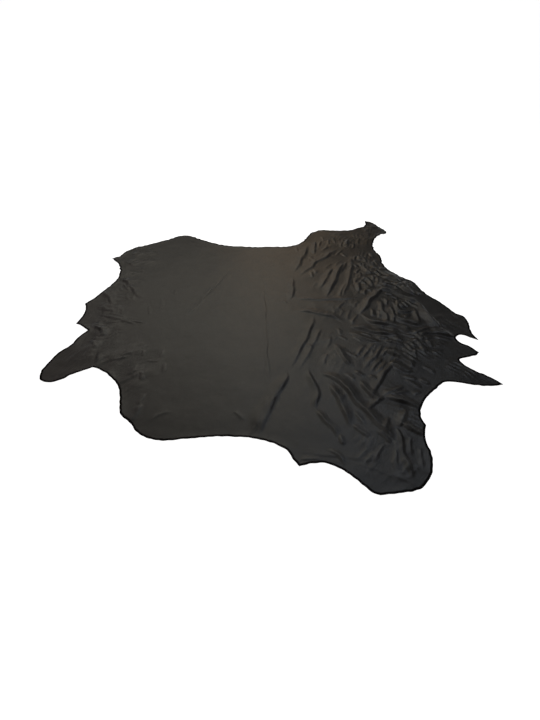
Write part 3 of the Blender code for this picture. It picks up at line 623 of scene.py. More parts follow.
def ridge_height(points: np.ndarray, ridge: Fold | Crease) -> np.ndarray:
    """The height that one ridge adds: a peaked flank on either side, tapered to nothing at both ends.

    Its height and width waver along the path with a slow sine that starts at a place of the path's own.

    Args:
        points: One row of x and y for each point.
        ridge: The fold or crease, with its path, widths and height.

    Returns:
        The height at each point, in metres.
    """
    path = smooth_run(ridge.path, PATH_STEP)
    margin = GENTLE_SPREAD * max(ridge.gentle_mm, ridge.steep_mm) * MM
    close = np.all((points > path.min(axis=0) - margin) & (points < path.max(axis=0) + margin), axis=1)
    distance, share = path_distance(points[close], path)
    taper = half_wave(1 - np.minimum(share, 1 - share) / TAPER_SHARE)
    waver = np.sin(share * len(path) * PATH_STEP / WAVER_LENGTH * 2 * math.pi + WAVER_AHEAD * path[0].sum())
    width = np.where(distance >= 0, GENTLE_SPREAD * ridge.gentle_mm, STEEP_SPREAD * ridge.steep_mm) * MM
    width = width * (END_WIDTH_SHARE + (1 - END_WIDTH_SHARE) * taper) * (1 - WAVER_SHARE / 2 * waver)
    height = np.zeros(len(points))
    reach = ridge.height_mm * MM * taper * (1 + WAVER_SHARE * waver)
    power = np.where(distance >= 0, GENTLE_POWER, STEEP_POWER)
    height[close] = reach * crest(np.abs(distance) / width, power)
    return height


def swell_height(points: np.ndarray, swell: Swell) -> np.ndarray:
    """The height that one swell adds: a half wave over an ellipse."""
    across = (points - (swell.x, swell.y)) / (swell.reach_x, swell.reach_y)
    return swell.height_mm * MM * half_wave(np.linalg.norm(across, axis=1))


def wave_field(
    points: np.ndarray, heading: float, across: float, along: float, count: int, seed: int
) -> np.ndarray:
    """An uneven field of long waves: the sum of several sine waves, each with its own length and turn.

    Args:
        points: One row of x and y for each point.
        heading: The direction in which the waves' crests run, in radians from +X.
        across: The mean wavelength, square to the crests.
        along: The mean wavelength along the crests.
        count: The number of waves in the sum.
        seed: The seed of the waves' lengths, turns and phases.

    Returns:
        The sum at each point, scaled to a mean square of 1.
    """
    dice = np.random.default_rng(seed)
    u = points @ np.array([math.cos(heading), math.sin(heading)])
    v = points @ np.array([-math.sin(heading), math.cos(heading)])
    v_rates = 2 * math.pi / across * dice.uniform(LEAST_RATE, MOST_RATE, count)
    u_rates = 2 * math.pi / along * dice.normal(0.0, 1.0, count)
    phases = dice.uniform(0.0, 2 * math.pi, count)
    waves = np.sin(u[:, None] * u_rates + v[:, None] * v_rates + phases)
    return waves.sum(axis=1) * math.sqrt(2.0 / count)


@dataclass(frozen=True)
class Edge:
    """The hide's natural edge, with the small waves of its trimming, which are larger on its far side."""

    stretches: tuple[Stretch, ...] = OUTLINE
    wave_mm: float = 2.0
    still_wave_mm: float = 0.8
    waves_round: tuple[int, ...] = (97, 139, 181, 223, 263)
    wavy_from_y: float = 0.0
    wavy_by_y: float = 0.4
    seed: int = 5

    def points(self, step: float) -> np.ndarray:
        """The closed edge, moved so that its box is centred on the origin, then waved along its normal.

        The wave is a sum of sines of the share of the way round, each a whole number of times.

        Args:
            step: The distance between two points, about.

        Returns:
            One row of x and y for each point, clockwise.
        """
        runs = []
        for number, stretch in enumerate(self.stretches):
            corner = self.stretches[(number + 1) % len(self.stretches)].places[0]
            runs.append(smooth_run((*stretch.places, corner), step)[:-1])
        edge = np.concatenate(runs)
        edge = edge - (edge.min(axis=0) + edge.max(axis=0)) / 2
        ahead = np.roll(edge, -1, axis=0) - edge
        share = np.cumsum(np.linalg.norm(ahead, axis=1))
        share = share / share[-1]
        along = np.roll(edge, -2, axis=0) - np.roll(edge, 2, axis=0)
        outward = np.stack([-along[:, 1], along[:, 0]], axis=1)
        outward /= np.linalg.norm(outward, axis=1)[:, None]
        phases = np.random.default_rng(self.seed).uniform(0.0, 2 * math.pi, len(self.waves_round))
        turns = np.array(self.waves_round) * 2 * math.pi
        wave = np.sin(share[:, None] * turns + phases).sum(axis=1) * math.sqrt(2.0 / len(turns))
        wavy = np.clip((edge[:, 1] - self.wavy_from_y) / (self.wavy_by_y - self.wavy_from_y), 0.0, 1.0)
        reach = (self.still_wave_mm + (self.wave_mm - self.still_wave_mm) * wavy) * MM
        return edge + outward * (reach * wave)[:, None]

    @staticmethod
    def inside(points: np.ndarray, edge: np.ndarray) -> np.ndarray:
        """Whether each point lies inside the closed edge.

        A point is inside where a line to its right crosses the edge an odd number of times.

        Args:
            points: One row of x and y for each point.
            edge: The closed edge's points.

        Returns:
            True or False for each point.
        """
        x1, y1 = edge[:, 0], edge[:, 1]
        x2, y2 = np.roll(x1, -1), np.roll(y1, -1)
        rise = np.where(y2 == y1, 1.0, y2 - y1)
        found = []
        for batch in np.array_split(points, max(1, len(points) // BATCH)):
            x, y = batch[:, 0:1], batch[:, 1:2]
            straddles = (y1 > y) != (y2 > y)
            crossing = x1 + (y - y1) * (x2 - x1) / rise
            found.append(np.count_nonzero(straddles & (x < crossing), axis=1) % 2 == 1)
        return np.concatenate(found)

    @staticmethod
    def distance(points: np.ndarray, edge: np.ndarray) -> np.ndarray:
        """The distance from each point to the nearest point of the edge.

        Args:
            points: One row of x and y for each point.
            edge: The closed edge's points, close together.

        Returns:
            One distance for each point, in metres.
        """
        square = np.sum(edge**2, axis=1)
        found = []
        for batch in np.array_split(points, max(1, len(points) // BATCH)):
            gap = np.sum(batch**2, axis=1)[:, None] + square - 2 * batch @ edge.T
            found.append(np.sqrt(np.maximum(gap.min(axis=1), 0.0)))
        return np.concatenate(found)


@dataclass(frozen=True)
class Relief:
    """How far the hide stands off the surface: its folds and swells, and the small creases on them."""

    folds: tuple[Fold, ...] = FOLDS
    swells: tuple[Swell, ...] = SWELLS
    crumples: tuple[Crumple, ...] = CRUMPLES
    drift_mm: float = 0.9
    drift_length: float = 0.42
    drift_heading: float = 0.9
    lift_mm: float = 3.0
    lift_reach: float = 0.045
    lift_length: float = 0.35
    crest_width: float = 2.4
    crest_power: float = 1.1
    run_share: float = 3.0
    small_share: float = 0.28
    small_turn: float = 0.9
    core_share: float = 0.35
    slow_share: float = 2.5
    present_share: float = 0.55
    stray_mm: float = 1.6
    stray_length: float = 0.20
    loose_reach: float = 1.3
    loose_full_mm: float = 6.0
    waves: int = 9
    slow_waves: int = 7
    drift_seed: int = 11
    lift_seed: int = 12
    stray_seed: int = 31
    patch_seed: int = 40
    slow_seed_step: int = 500
    small_seed_step: int = 900

    def stray(self, points: np.ndarray) -> np.ndarray:
        """The points moved a little by two slow fields, so that no ridge runs quite true."""
        length = self.stray_length
        moves = [
            wave_field(points, turn, length, length, self.waves, self.stray_seed + turn) for turn in (0, 1)
        ]
        return points + self.stray_mm * MM * np.stack(moves, axis=1)

    def form(self, points: np.ndarray, rim: np.ndarray) -> np.ndarray:
        """The main form: folds and swells, a slow drift over the whole hide, and the lift of its edge.

        The drift is a field of long waves, raised so that it is never below nothing. The lift is a half
        wave from the edge inwards, and comes and goes along it.

        Args:
            points: One row of x and y for each point.
            rim: Each point's distance from the edge.

        Returns:
            The height of the main form at each point, in metres.
        """
        strayed = self.stray(points)
        rises = [ridge_height(strayed, fold) for fold in self.folds]
        rises += [swell_height(points, swell) for swell in self.swells]
        length = self.drift_length
        drift = wave_field(points, self.drift_heading, length, length, self.waves, self.drift_seed)
        drift = self.drift_mm * MM * (1 + np.tanh(drift))
        length = self.lift_length
        comes = wave_field(points, 0.0, length, length, self.slow_waves, self.lift_seed)
        comes = 0.5 + 0.5 * np.tanh(comes)
        lift = self.lift_mm * MM * comes * half_wave(rim / self.lift_reach)
        return np.sum(rises, axis=0) + drift + lift

    def crumple(self, points: np.ndarray, patch: Crumple, seed: int) -> np.ndarray:
        """The wrinkles of one patch, in metres.

        A wrinkle's crest runs where a field of waves passes through nothing, and its flanks are peaked as
        a fold's. Smaller wrinkles of half the spacing cross them. Both come and go with a slower field, and
        fade over the outer part of the patch.

        Args:
            points: One row of x and y for each point.
            patch: The patch, with its place, heading, spacing and height.
            seed: The seed of the patch's waves.

        Returns:
            The height that the patch adds at each point.
        """
        heading = math.radians(patch.heading_deg)
        wave = 2 * patch.spacing_mm * MM
        away = (points - (patch.x, patch.y)) / (patch.reach_x, patch.reach_y)
        fade = half_wave((np.linalg.norm(away, axis=1) - self.core_share) / (1 - self.core_share))
        close = fade > 0.0
        near = points[close]
        field = wave_field(near, heading, wave, self.run_share * wave, self.waves, seed)
        slow_wave = self.slow_share * wave
        slow = wave_field(near, heading, slow_wave, slow_wave, self.slow_waves, seed + self.slow_seed_step)
        present = np.clip(self.present_share + self.present_share * slow, 0.0, 1.0)
        turned = heading + self.small_turn
        small_run = self.run_share * wave / 2
        small = wave_field(near, turned, wave / 2, small_run, self.waves, seed + self.small_seed_step)
        ridges = crest(np.abs(field) / self.crest_width, self.crest_power)
        ridges = ridges + self.small_share * crest(np.abs(small) / self.crest_width, self.crest_power)
        height = np.zeros(len(points))
        height[close] = patch.height_mm * MM * ridges * present * fade[close]
        return height

    def detail(self, points: np.ndarray) -> np.ndarray:
        """The height that the small creases and the crumples add at each point, in metres."""
        creases = [crease for group in CREASES.values() for crease in group]
        strayed = self.stray(points)
        rises = [ridge_height(strayed, crease) for crease in creases]
        rises += [self.crumple(points, patch, self.patch_seed + at) for at, patch in enumerate(self.crumples)]
        return np.sum(rises, axis=0)

    def looseness(self, points: np.ndarray) -> np.ndarray:
        """From 0 on the tight skin of the back to 1 in the loose skin of the crumpled patches."""
        fades = []
        for patch in self.crumples:
            reach = (self.loose_reach * patch.reach_x, self.loose_reach * patch.reach_y)
            away = (points - (patch.x, patch.y)) / reach
            fades.append(patch.height_mm / self.loose_full_mm * half_wave(np.linalg.norm(away, axis=1)))
        return np.clip(np.sum(fades, axis=0), 0.0, 1.0)


class Value:
    """One number on a material's node tree. Arithmetic on it adds Math nodes, so a formula reads as one."""

    def __init__(self, bench: "Bench", socket: bpy.types.NodeSocket) -> None:
        """Keeps the socket and the bench that it belongs to."""
        self.bench = bench
        self.socket = socket

    def __add__(self, other: "Value | float") -> "Value":
        """This number plus another."""
        return self.bench.maths("ADD", self, other)

    def __sub__(self, other: "Value | float") -> "Value":
        """This number less another."""
        return self.bench.maths("SUBTRACT", self, other)

    def __rsub__(self, other: float) -> "Value":
        """A plain number less this one."""
        return self.bench.maths("SUBTRACT", other, self)

    def __mul__(self, other: "Value | float") -> "Value":
        """This number times another."""
        return self.bench.maths("MULTIPLY", self, other)

    __radd__ = __add__
    __rmul__ = __mul__


class Bench:
    """A new material and the tools that its finish is made with."""

    def __init__(self, name: str) -> None:
        """Starts a material with its Principled shader and the place of each point on the piece."""
        self.material = bpy.data.materials.new(name)
        self.material.use_nodes = True
        self.tree = self.material.node_tree
        self.shader = self.tree.nodes["Principled BSDF"]
        self.place = self.node("ShaderNodeTexCoord").outputs["Object"]

    def node(self, kind: str, settings: dict | None = None, values: dict | None = None) -> bpy.types.Node:
        """Adds a node, makes its choices first and then fills its sockets.

        Args:
            kind: The node's type.
            settings: The node's own choices, by name.
            values: A number, colour, socket or Value for each socket, by identifier or name.

        Returns:
            The node.
        """
        made = self.tree.nodes.new(kind)
        for setting, choice in (settings or {}).items():
            setattr(made, setting, choice)
        for name, value in (values or {}).items():
            self.fill(made, name, value)
        return made

    def fill(self, node: bpy.types.Node, name: str, value: object) -> None:
        """Links a Value or a socket to the named input, or sets the input to a plain number or colour."""
        open_sockets = [entry for entry in node.inputs if entry.enabled]
        socket = next(entry for entry in open_sockets if name in (entry.identifier, entry.name))
        if isinstance(value, Value):
            self.tree.links.new(value.socket, socket)
        elif isinstance(value, bpy.types.NodeSocket):
            self.tree.links.new(value, socket)
        else:
            socket.default_value = value

    def maths(self, operation: str, *numbers: "Value | float") -> Value:
        """One Math node on one or two numbers."""
        values = dict(zip(("Value", "Value_001"), numbers))
        return Value(self, self.node("ShaderNodeMath", {"operation": operation}, values).outputs[0])

    def attribute(self, name: str) -> Value:
        """The number that the piece holds at each point under a name."""
        made = self.node("ShaderNodeAttribute", {"attribute_name": name})
        return Value(self, made.outputs["Fac"])

    def noise(
        self, size: float, detail: float = 3.0, rough: float = 0.5, twist: float = 0.0,
        place: bpy.types.NodeSocket | None = None
    ) -> Value:
        """Soft clouds from 0 to 1, about as wide as size in metres.

        Args:
            size: The width of a cloud.
            detail: How many finer layers are added.
            rough: How strong the finer layers are.
            twist: How much the clouds are pulled about.
            place: Where to read the clouds, or None for the point's own place.

        Returns:
            The clouds' value.
        """
        values = {
            "Vector": place or self.place,
            "Scale": 1.0 / size,
            "Detail": detail,
            "Roughness": rough,
            "Distortion": twist,
        }
        return Value(self, self.node("ShaderNodeTexNoise", {}, values).outputs[0])

    def cells(self, size: float) -> Value:
        """The distance from the borders of small cells, which are about as wide as size in metres."""
        values = {"Vector": self.place, "Scale": 1.0 / size}
        made = self.node("ShaderNodeTexVoronoi", {"feature": "DISTANCE_TO_EDGE"}, values)
        return Value(self, made.outputs["Distance"])

    def stretched(self, turn: float, along: float, across: float) -> bpy.types.NodeSocket:
        """The point's place, turned about Z and squeezed, for marks that run one way.

        Args:
            turn: The marks' direction, in radians from +X.
            along: The scale along the marks.
            across: The scale across them.

        Returns:
            The socket of the new place.
        """
        turned = self.node("ShaderNodeVectorRotate", {"rotation_type": "Z_AXIS"},
                           {"Vector": self.place, "Angle": -turn})
        squeezed = self.node("ShaderNodeVectorMath", {"operation": "MULTIPLY"},
                             {"Vector": turned.outputs[0], "Vector_001": (along, across, 1.0)})
        return squeezed.outputs[0]

    def ease(self, value: Value, low: float, high: float, start: float = 0.0, end: float = 1.0) -> Value:
        """Carries a value smoothly from start at low to end at high, and holds it beyond them.

        Args:
            value: The number to read.
            low: Where the change starts.
            high: Where it ends.
            start: The result at low.
            end: The result at high.

        Returns:
            The eased number.
        """
        values = {"Value": value, "From Min": low, "From Max": high, "To Min": start, "To Max": end}
        made = self.node("ShaderNodeMapRange", {"interpolation_type": "SMOOTHSTEP"}, values)
        return Value(self, made.outputs[0])

    def mix(self, share: Value, first: object, second: object) -> bpy.types.NodeSocket:
        """The first colour where share is 0, the second where it is 1."""
        values = {"Factor_Float": share, "A_Color": first, "B_Color": second}
        return self.node("ShaderNodeMix", {"data_type": "RGBA"}, values).outputs["Result"]

    def bump(
        self, height: Value, depth_mm: float, below: bpy.types.NodeSocket | None = None
    ) -> bpy.types.NodeSocket:
        """Raises the surface by up to a depth where height is 1.

        Args:
            height: The height, from 0 to 1.
            depth_mm: The depth that a height of 1 stands for.
            below: The normal that this relief lies on, or None for the mesh's own.

        Returns:
            The raised surface's normal.
        """
        values = {"Strength": 1.0, "Distance": depth_mm * MM, "Height": height}
        if below is not None:
            values["Normal"] = below
        return self.node("ShaderNodeBump", {}, values).outputs[0]

    def cover(self, share: Value, tone: tuple[float, float, float, float]) -> None:
        """Covers the finish with one dull tone that mirrors no light where share is 1, which paints shade."""
        values = {"Base Color": tone, "Roughness": 1.0, "Specular IOR Level": 0.0}
        dull = self.node("ShaderNodeBsdfPrincipled", {}, values)
        values = {"Fac": share, "Shader": self.shader.outputs[0], "Shader_001": dull.outputs[0]}
        both = self.node("ShaderNodeMixShader", {}, values)
        self.tree.links.new(both.outputs[0], self.tree.nodes["Material Output"].inputs["Surface"])

    def finish(self, **values: object) -> bpy.types.Material:
        """Fills the shader's sockets, whose names are given with _ for a space, and returns the material."""
        for name, value in values.items():
            self.fill(self.shader, name.replace("_", " "), value)
        return self.material


@dataclass(frozen=True)
class GrainSide:
    """The finished top: fine pebbled grain, dyed brown-black, with a low even sheen."""

    name: str = "hide grain"
    deep_dye: tuple[float, float, float, float] = (0.0150, 0.0135, 0.0120, 1.0)
    worn_dye: tuple[float, float, float, float] = (0.0250, 0.0220, 0.0185, 1.0)
    # Painted shade: the darker tone laid into the troughs of the small creases.
    painted_crease_shade: tuple[float, float, float, float] = (0.0085, 0.0078, 0.0072, 1.0)
    # Painted shade: the near-black tone of the dull band along the edge.
    painted_edge_shade: tuple[float, float, float, float] = (0.0045, 0.0040, 0.0036, 1.0)
    cloud_size: float = 0.380
    mottle_size: float = 0.042
    dent_size: float = 0.090
    wrinkle_size: float = 0.016
    pebble_size: float = 0.0016
    pore_size: float = 0.0005
    dent_mm: float = 2.2
    wrinkle_mm: float = 0.55
    pebble_mm: float = 0.07
    pore_mm: float = 0.02
    cloud_share: float = 0.62
    mottle_share: float = 0.38
    worn_share: float = 0.55
    # Shares of the painted shade: in the creases' troughs, and in the band along the edge.
    crease_shade_share: float = 0.70
    edge_shade_share: float = 0.92
    roughness: float = 0.43
    mottle_roughness: float = 0.10
    cloud_roughness: float = 0.06
    relief_roughness: float = 0.05

    def material(self) -> bpy.types.Material:
        """Dye clouds, painted shade in the creases' troughs and paler worn crests, over dents, fine wrinkles,
        pebbles and pores, with a dull band of painted shade along the edge.
        """
        bench = Bench(self.name)
        relief = bench.attribute("relief")
        loose = bench.attribute("loose")
        rim = bench.attribute("rim")
        cloud = bench.noise(self.cloud_size, detail=4.0, rough=0.55, twist=0.6)
        mottle = bench.noise(self.mottle_size, detail=5.0, rough=0.60, twist=0.3)
        raised = bench.ease(relief, 0.15, 0.9)
        trough = bench.ease(relief, -0.1, -0.8)
        clouds = bench.ease(self.cloud_share * cloud + self.mottle_share * mottle, 0.30, 0.70)
        dye_and_shade = bench.mix(clouds, self.deep_dye, self.worn_dye)
        dye_and_shade = bench.mix(self.worn_share * raised, dye_and_shade, self.worn_dye)
        # Painted shade: the troughs of the small creases are darkened in the base colour, for the shade that
        # falls in them.
        dye_and_shade = bench.mix(self.crease_shade_share * trough, dye_and_shade, self.painted_crease_shade)
        run = bench.stretched(turn=1.15, along=0.45, across=1.0)
        lines = bench.noise(self.wrinkle_size, detail=3.0, rough=0.55, twist=0.8, place=run)
        folded = bench.maths("ABSOLUTE", 2.0 * lines - 1.0)
        wrinkles = bench.ease(folded, 0.0, 0.30) * bench.ease(loose, 0.05, 0.75, start=0.12)
        dents = bench.noise(self.dent_size, detail=3.0, rough=0.45)
        pebbles = bench.ease(bench.cells(self.pebble_size), 0.0, 0.32)
        pores = bench.noise(self.pore_size, detail=1.0)
        surface = bench.bump(dents, self.dent_mm)
        surface = bench.bump(wrinkles, self.wrinkle_mm, surface)
        surface = bench.bump(pebbles, self.pebble_mm, surface)
        surface = bench.bump(pores, self.pore_mm, surface)
        roughness = self.roughness + self.mottle_roughness * (mottle - 0.5)
        roughness = roughness + self.cloud_roughness * (cloud - 0.5)
        roughness = roughness - self.relief_roughness * raised + self.relief_roughness * trough
        # Painted shade: a near-black band along the edge that mirrors no light, wider than a burnished edge
        # would be.
        bench.cover(self.edge_shade_share * bench.ease(rim, 0.40, 0.65), self.painted_edge_shade)
        return bench.finish(
            Base_Color=dye_and_shade,
            Roughness=roughness,
            Metallic=0.0,
            Specular_IOR_Level=0.5,
            Normal=surface,
        )


@dataclass(frozen=True)
class FleshSide:
    """The underside: split suede, a soft grey-brown nap."""

    name: str = "hide flesh side"
    nap: tuple[float, float, float, float] = (0.060, 0.050, 0.041, 1.0)
    brushed: tuple[float, float, float, float] = (0.095, 0.080, 0.066, 1.0)
    brush_size: float = 0.060
    fibre_size: float = 0.0012
    brush_mm: float = 0.6
    fibre_mm: float = 0.35
    brush_share: float = 0.7
    fibre_share: float = 0.3
    roughness: float = 0.90
    fibre_roughness: float = 0.08
    sheen: float = 0.25
    sheen_roughness: float = 0.6

    def material(self) -> bpy.types.Material:
        """Brushed clouds of nap over fine loose fibres."""
        bench = Bench(self.name)
        run = bench.stretched(turn=0.3, along=0.6, across=1.0)
        brush = bench.noise(self.brush_size, detail=5.0, rough=0.62, twist=0.9, place=run)
        fibres = bench.noise(self.fibre_size, detail=3.0, rough=0.65, twist=0.5)
        clouds = bench.ease(self.brush_share * brush + self.fibre_share * fibres, 0.32, 0.68)
        return bench.finish(
            Base_Color=bench.mix(clouds, self.nap, self.brushed),
            Roughness=self.roughness + self.fibre_roughness * (fibres - 0.5),
            Metallic=0.0,
            Sheen_Weight=self.sheen,
            Sheen_Roughness=self.sheen_roughness,
            Normal=bench.bump(fibres, self.fibre_mm, bench.bump(brush, self.brush_mm)),
        )


@dataclass(frozen=True)
class CutEdge:
    """The trimmed edge: bare dyed fibres, between the grain and the nap in colour."""

    name: str = "hide cut edge"
    fibre: tuple[float, float, float, float] = (0.030, 0.026, 0.022, 1.0)
    raw: tuple[float, float, float, float] = (0.060, 0.050, 0.040, 1.0)
    fibre_size: float = 0.0007
    fibre_mm: float = 0.15
    roughness: float = 0.85
    fibre_roughness: float = 0.08

    def material(self) -> bpy.types.Material:
        """Fine fibres in two tones, rough all over."""
        bench = Bench(self.name)
        fibres = bench.noise(self.fibre_size, detail=3.0, rough=0.6)
        return bench.finish(
            Base_Color=bench.mix(bench.ease(fibres, 0.35, 0.65), self.fibre, self.raw),
            Roughness=self.roughness + self.fibre_roughness * (fibres - 0.5),
            Metallic=0.0,
            Normal=bench.bump(fibres, self.fibre_mm),
        )


@dataclass
class Hide:
    """The hide itself: one closed sheet with its grain side, flesh side and cut edge."""

    edge: Edge
    relief: Relief
    thickness: float = 0.0015
    rim_step: float = 0.0068
    hind_step: float = 0.0090
    back_step: float = 0.0150
    fore_step: float = 0.0068
    flesh_hind_step: float = 0.022
    flesh_back_step: float = 0.020
    flesh_fore_step: float = 0.0145
    back_from_x: float = -0.70
    fore_from_x: float = 0.06
    row_step: float = 0.009
    row_gap: float = 0.0035
    sink_mm: float = 1.8
    sink_reach: float = 0.030
    flat_width: float = 2.50
    flat_length: float = 2.74
    flat_area: float = 4.50
    crease_mm: float = 3.0
    rim_reach: float = 0.024
    edge_clear_share: float = 0.6
    foot_share: float = 0.8
    sharp_from_deg: float = 60.0

    def grid(self, edge: np.ndarray, hind: float, back: float, fore: float) -> np.ndarray:
        """Staggered points inside the edge, close together on the wrinkled parts and wider on the back.

        Args:
            edge: The closed edge's points.
            hind: The spacing on the hindquarters.
            back: The spacing on the plain back.
            fore: The spacing on the neck and shoulders.

        Returns:
            One row of x and y for each point.
        """
        low, high = edge.min(axis=0), edge.max(axis=0)
        turns = (low[0], self.back_from_x, self.fore_from_x, high[0])
        grids = []
        for step, left, right in zip((hind, back, fore), turns[:-1], turns[1:]):
            rows = np.arange(low[1], high[1], step * math.sqrt(3) / 2)
            columns = np.arange(left + step / 2, right, step)
            x, y = np.meshgrid(columns, rows)
            x[1::2] += step / 2
            points = np.stack([x.ravel(), y.ravel()], axis=1)
            points = points[Edge.distance(points, edge) > self.edge_clear_share * step]
            grids.append(points[Edge.inside(points, edge)])
        return np.concatenate(grids)

    def rows(self, edge: np.ndarray) -> np.ndarray:
        """Points in rows along each ridge behind the shoulders, which keep its crest and its feet crisp.

        A row runs beside the ridge's path at a share of the flank's width, and points that fall closer
        together than a small gap are thinned to one.

        Args:
            edge: The closed edge's points.

        Returns:
            One row of x and y for each point.
        """
        ridges = [*self.relief.folds, *(crease for group in CREASES.values() for crease in group)]
        found = []
        for ridge in ridges:
            path = smooth_run(ridge.path, self.row_step)
            ahead = np.gradient(path, axis=0)
            left = np.stack([-ahead[:, 1], ahead[:, 0]], axis=1)
            left /= np.linalg.norm(left, axis=1)[:, None]
            gentle, steep = GENTLE_SPREAD * ridge.gentle_mm * MM, STEEP_SPREAD * ridge.steep_mm * MM
            offsets = np.array([-steep, -steep / 2, 0.0, gentle / 3, self.foot_share * gentle])
            found.append((path[:, None] + left[:, None] * offsets[:, None]).reshape(-1, 2))
        points = np.concatenate(found)
        points = 2 * points - self.relief.stray(points)
        points = points[points[:, 0] < self.fore_from_x]
        points = points[np.unique(np.round(points / self.row_gap), axis=0, return_index=True)[1]]
        points = points[Edge.distance(points, edge) > self.row_gap]
        return points[Edge.inside(points, edge)]

    def sheet(self, edge: np.ndarray, points: np.ndarray) -> np.ndarray:
        """Triangles between the edge's points and the points inside it, counter-clockwise from above.

        Args:
            edge: The closed edge's points, first in the mesh's order.
            points: The points inside, after them.

        Returns:
            Three point numbers for each triangle.
        """
        flat = np.concatenate([edge, points])
        border = [(number, (number + 1) % len(edge)) for number in range(len(edge))]
        inside_only = 1
        found, _, faces, *_ = delaunay_2d_cdt(flat.tolist(), border, [], inside_only, MERGE_LIMIT)
        if len(found) != len(flat):
            raise ValueError("two points of the hide's sheet fell together")
        faces = np.array(faces)
        a, b, c = flat[faces[:, 0]], flat[faces[:, 1]], flat[faces[:, 2]]
        turned = (b[:, 0] - a[:, 0]) * (c[:, 1] - a[:, 1]) < (b[:, 1] - a[:, 1]) * (c[:, 0] - a[:, 0])
        faces[turned] = faces[turned][:, ::-1]
        return faces

    def build(self) -> bpy.types.Object:
        """Builds the closed sheet and dresses it.

        The flesh side has wider triangles, so away from the edge it sinks a little and keeps only the
        troughs of the small creases. That way it never comes through the grain side.

        Returns:
            The piece, at the origin, with its finishes and its attributes.
        """
        edge = self.edge.points(self.rim_step)
        rows = self.rows(edge)
        grid = self.grid(edge, self.hind_step, self.back_step, self.fore_step)
        grid = grid[Edge.distance(grid, rows) > self.row_gap]
        top = np.concatenate([edge, rows, grid])
        flesh = self.grid(edge, self.flesh_hind_step, self.flesh_back_step, self.flesh_fore_step)
        under = np.concatenate([edge, flesh])
        top_faces = self.sheet(edge, top[len(edge):])
        under_faces = self.sheet(edge, under[len(edge):])
        top_rim = Edge.distance(top, edge)
        under_rim = Edge.distance(under, edge)
        top_detail = self.relief.detail(top)
        top_height = np.maximum(self.relief.form(top, top_rim) + top_detail, 0.0) + self.thickness
        inner = 1 - half_wave(under_rim / self.sink_reach)
        under_detail = self.relief.detail(under)
        under_height = self.relief.form(under, under_rim) - self.sink_mm * MM * inner
        under_height = under_height + under_detail * (1 - inner) + np.minimum(under_detail, 0.0) * inner
        under_height = np.maximum(under_height, 0.0)
        ring = np.arange(len(edge))
        ahead = np.roll(ring, -1)
        rim_faces = np.stack([ring, ahead, ahead + len(top), ring + len(top)], axis=1)
        places = np.concatenate([np.column_stack([top, top_height]), np.column_stack([under, under_height])])
        faces = top_faces.tolist() + (under_faces[:, ::-1] + len(top)).tolist() + rim_faces.tolist()
        mesh = bpy.data.meshes.new("hide_sheet")
        mesh.from_pydata(places.tolist(), [], faces)
        sides = np.repeat(
            [Side.GRAIN.value, Side.FLESH.value, Side.CUT_EDGE.value],
            [len(top_faces), len(under_faces), len(rim_faces)],
        )
        mesh.polygons.foreach_set("material_index", sides.astype(np.int32))
        # relief: the crests lighten the grain as wear, and the troughs carry painted shade.
        self.mark(mesh, "relief", np.concatenate([top_detail, np.zeros(len(under))]) / (self.crease_mm * MM))
        self.mark(mesh, "loose", np.concatenate([self.relief.looseness(top), np.zeros(len(under))]))
        # The rim mask places the painted edge shade on the grain side.
        self.mark(mesh, "rim", half_wave(np.concatenate([top_rim, under_rim]) / self.rim_reach))
        mesh.shade_smooth()
        mesh.set_sharp_from_angle(angle=math.radians(self.sharp_from_deg))
        for finish in (GrainSide(), FleshSide(), CutEdge()):
            mesh.materials.append(finish.material())
        piece = bpy.data.objects.new("hide_sheet", mesh)
        bpy.context.scene.collection.objects.link(piece)
        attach(piece, "root")
        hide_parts("hide")
        return piece

    @staticmethod
    def mark(mesh: bpy.types.Mesh, name: str, values: np.ndarray) -> None:
        """Keeps one number for each point of the mesh under a name."""
        layer = mesh.attributes.new(name, "FLOAT", "POINT")
        layer.data.foreach_set("value", values.astype(np.float32))


class Lamp(NamedTuple):
    """A soft flat light, with where it stands, what it faces and how wide and high it is."""

    name: str
    place: tuple[float, float, float]
    target: tuple[float, float, float]
    width: float
    height: float
    watts: float
    colour: tuple[float, float, float]


LAMPS = (
    Lamp("back window", (-0.95, 3.10, 2.40), (-0.10, 0.00, 0.0), 3.1, 1.7, 18.6, (1.0, 0.95, 0.82)),
    Lamp("warm lamp", (0.25, 3.60, 1.45), (0.20, 0.80, 0.0), 1.4, 0.6, 3.6, (1.0, 0.66, 0.36)),
    Lamp("high window", (0.30, 2.60, 3.60), (0.10, -0.60, 0.0), 2.0, 1.4, 16.0, (1.0, 0.98, 0.90)),
    Lamp("left window", (-2.45, 1.40, 1.83), (-1.15, -0.60, 0.0), 1.6, 1.4, 3.2, (1.0, 0.86, 0.80)),
    Lamp("cool corner", (1.50, 0.90, 3.10), (0.60, -1.10, 0.0), 1.2, 1.2, 10.0, (0.76, 0.85, 1.0)),
    Lamp("overhead", (-1.60, -0.60, 3.60), (0.00, -0.40, 0.0), 1.6, 1.6, 14.0, (1.0, 0.97, 0.92)),
)


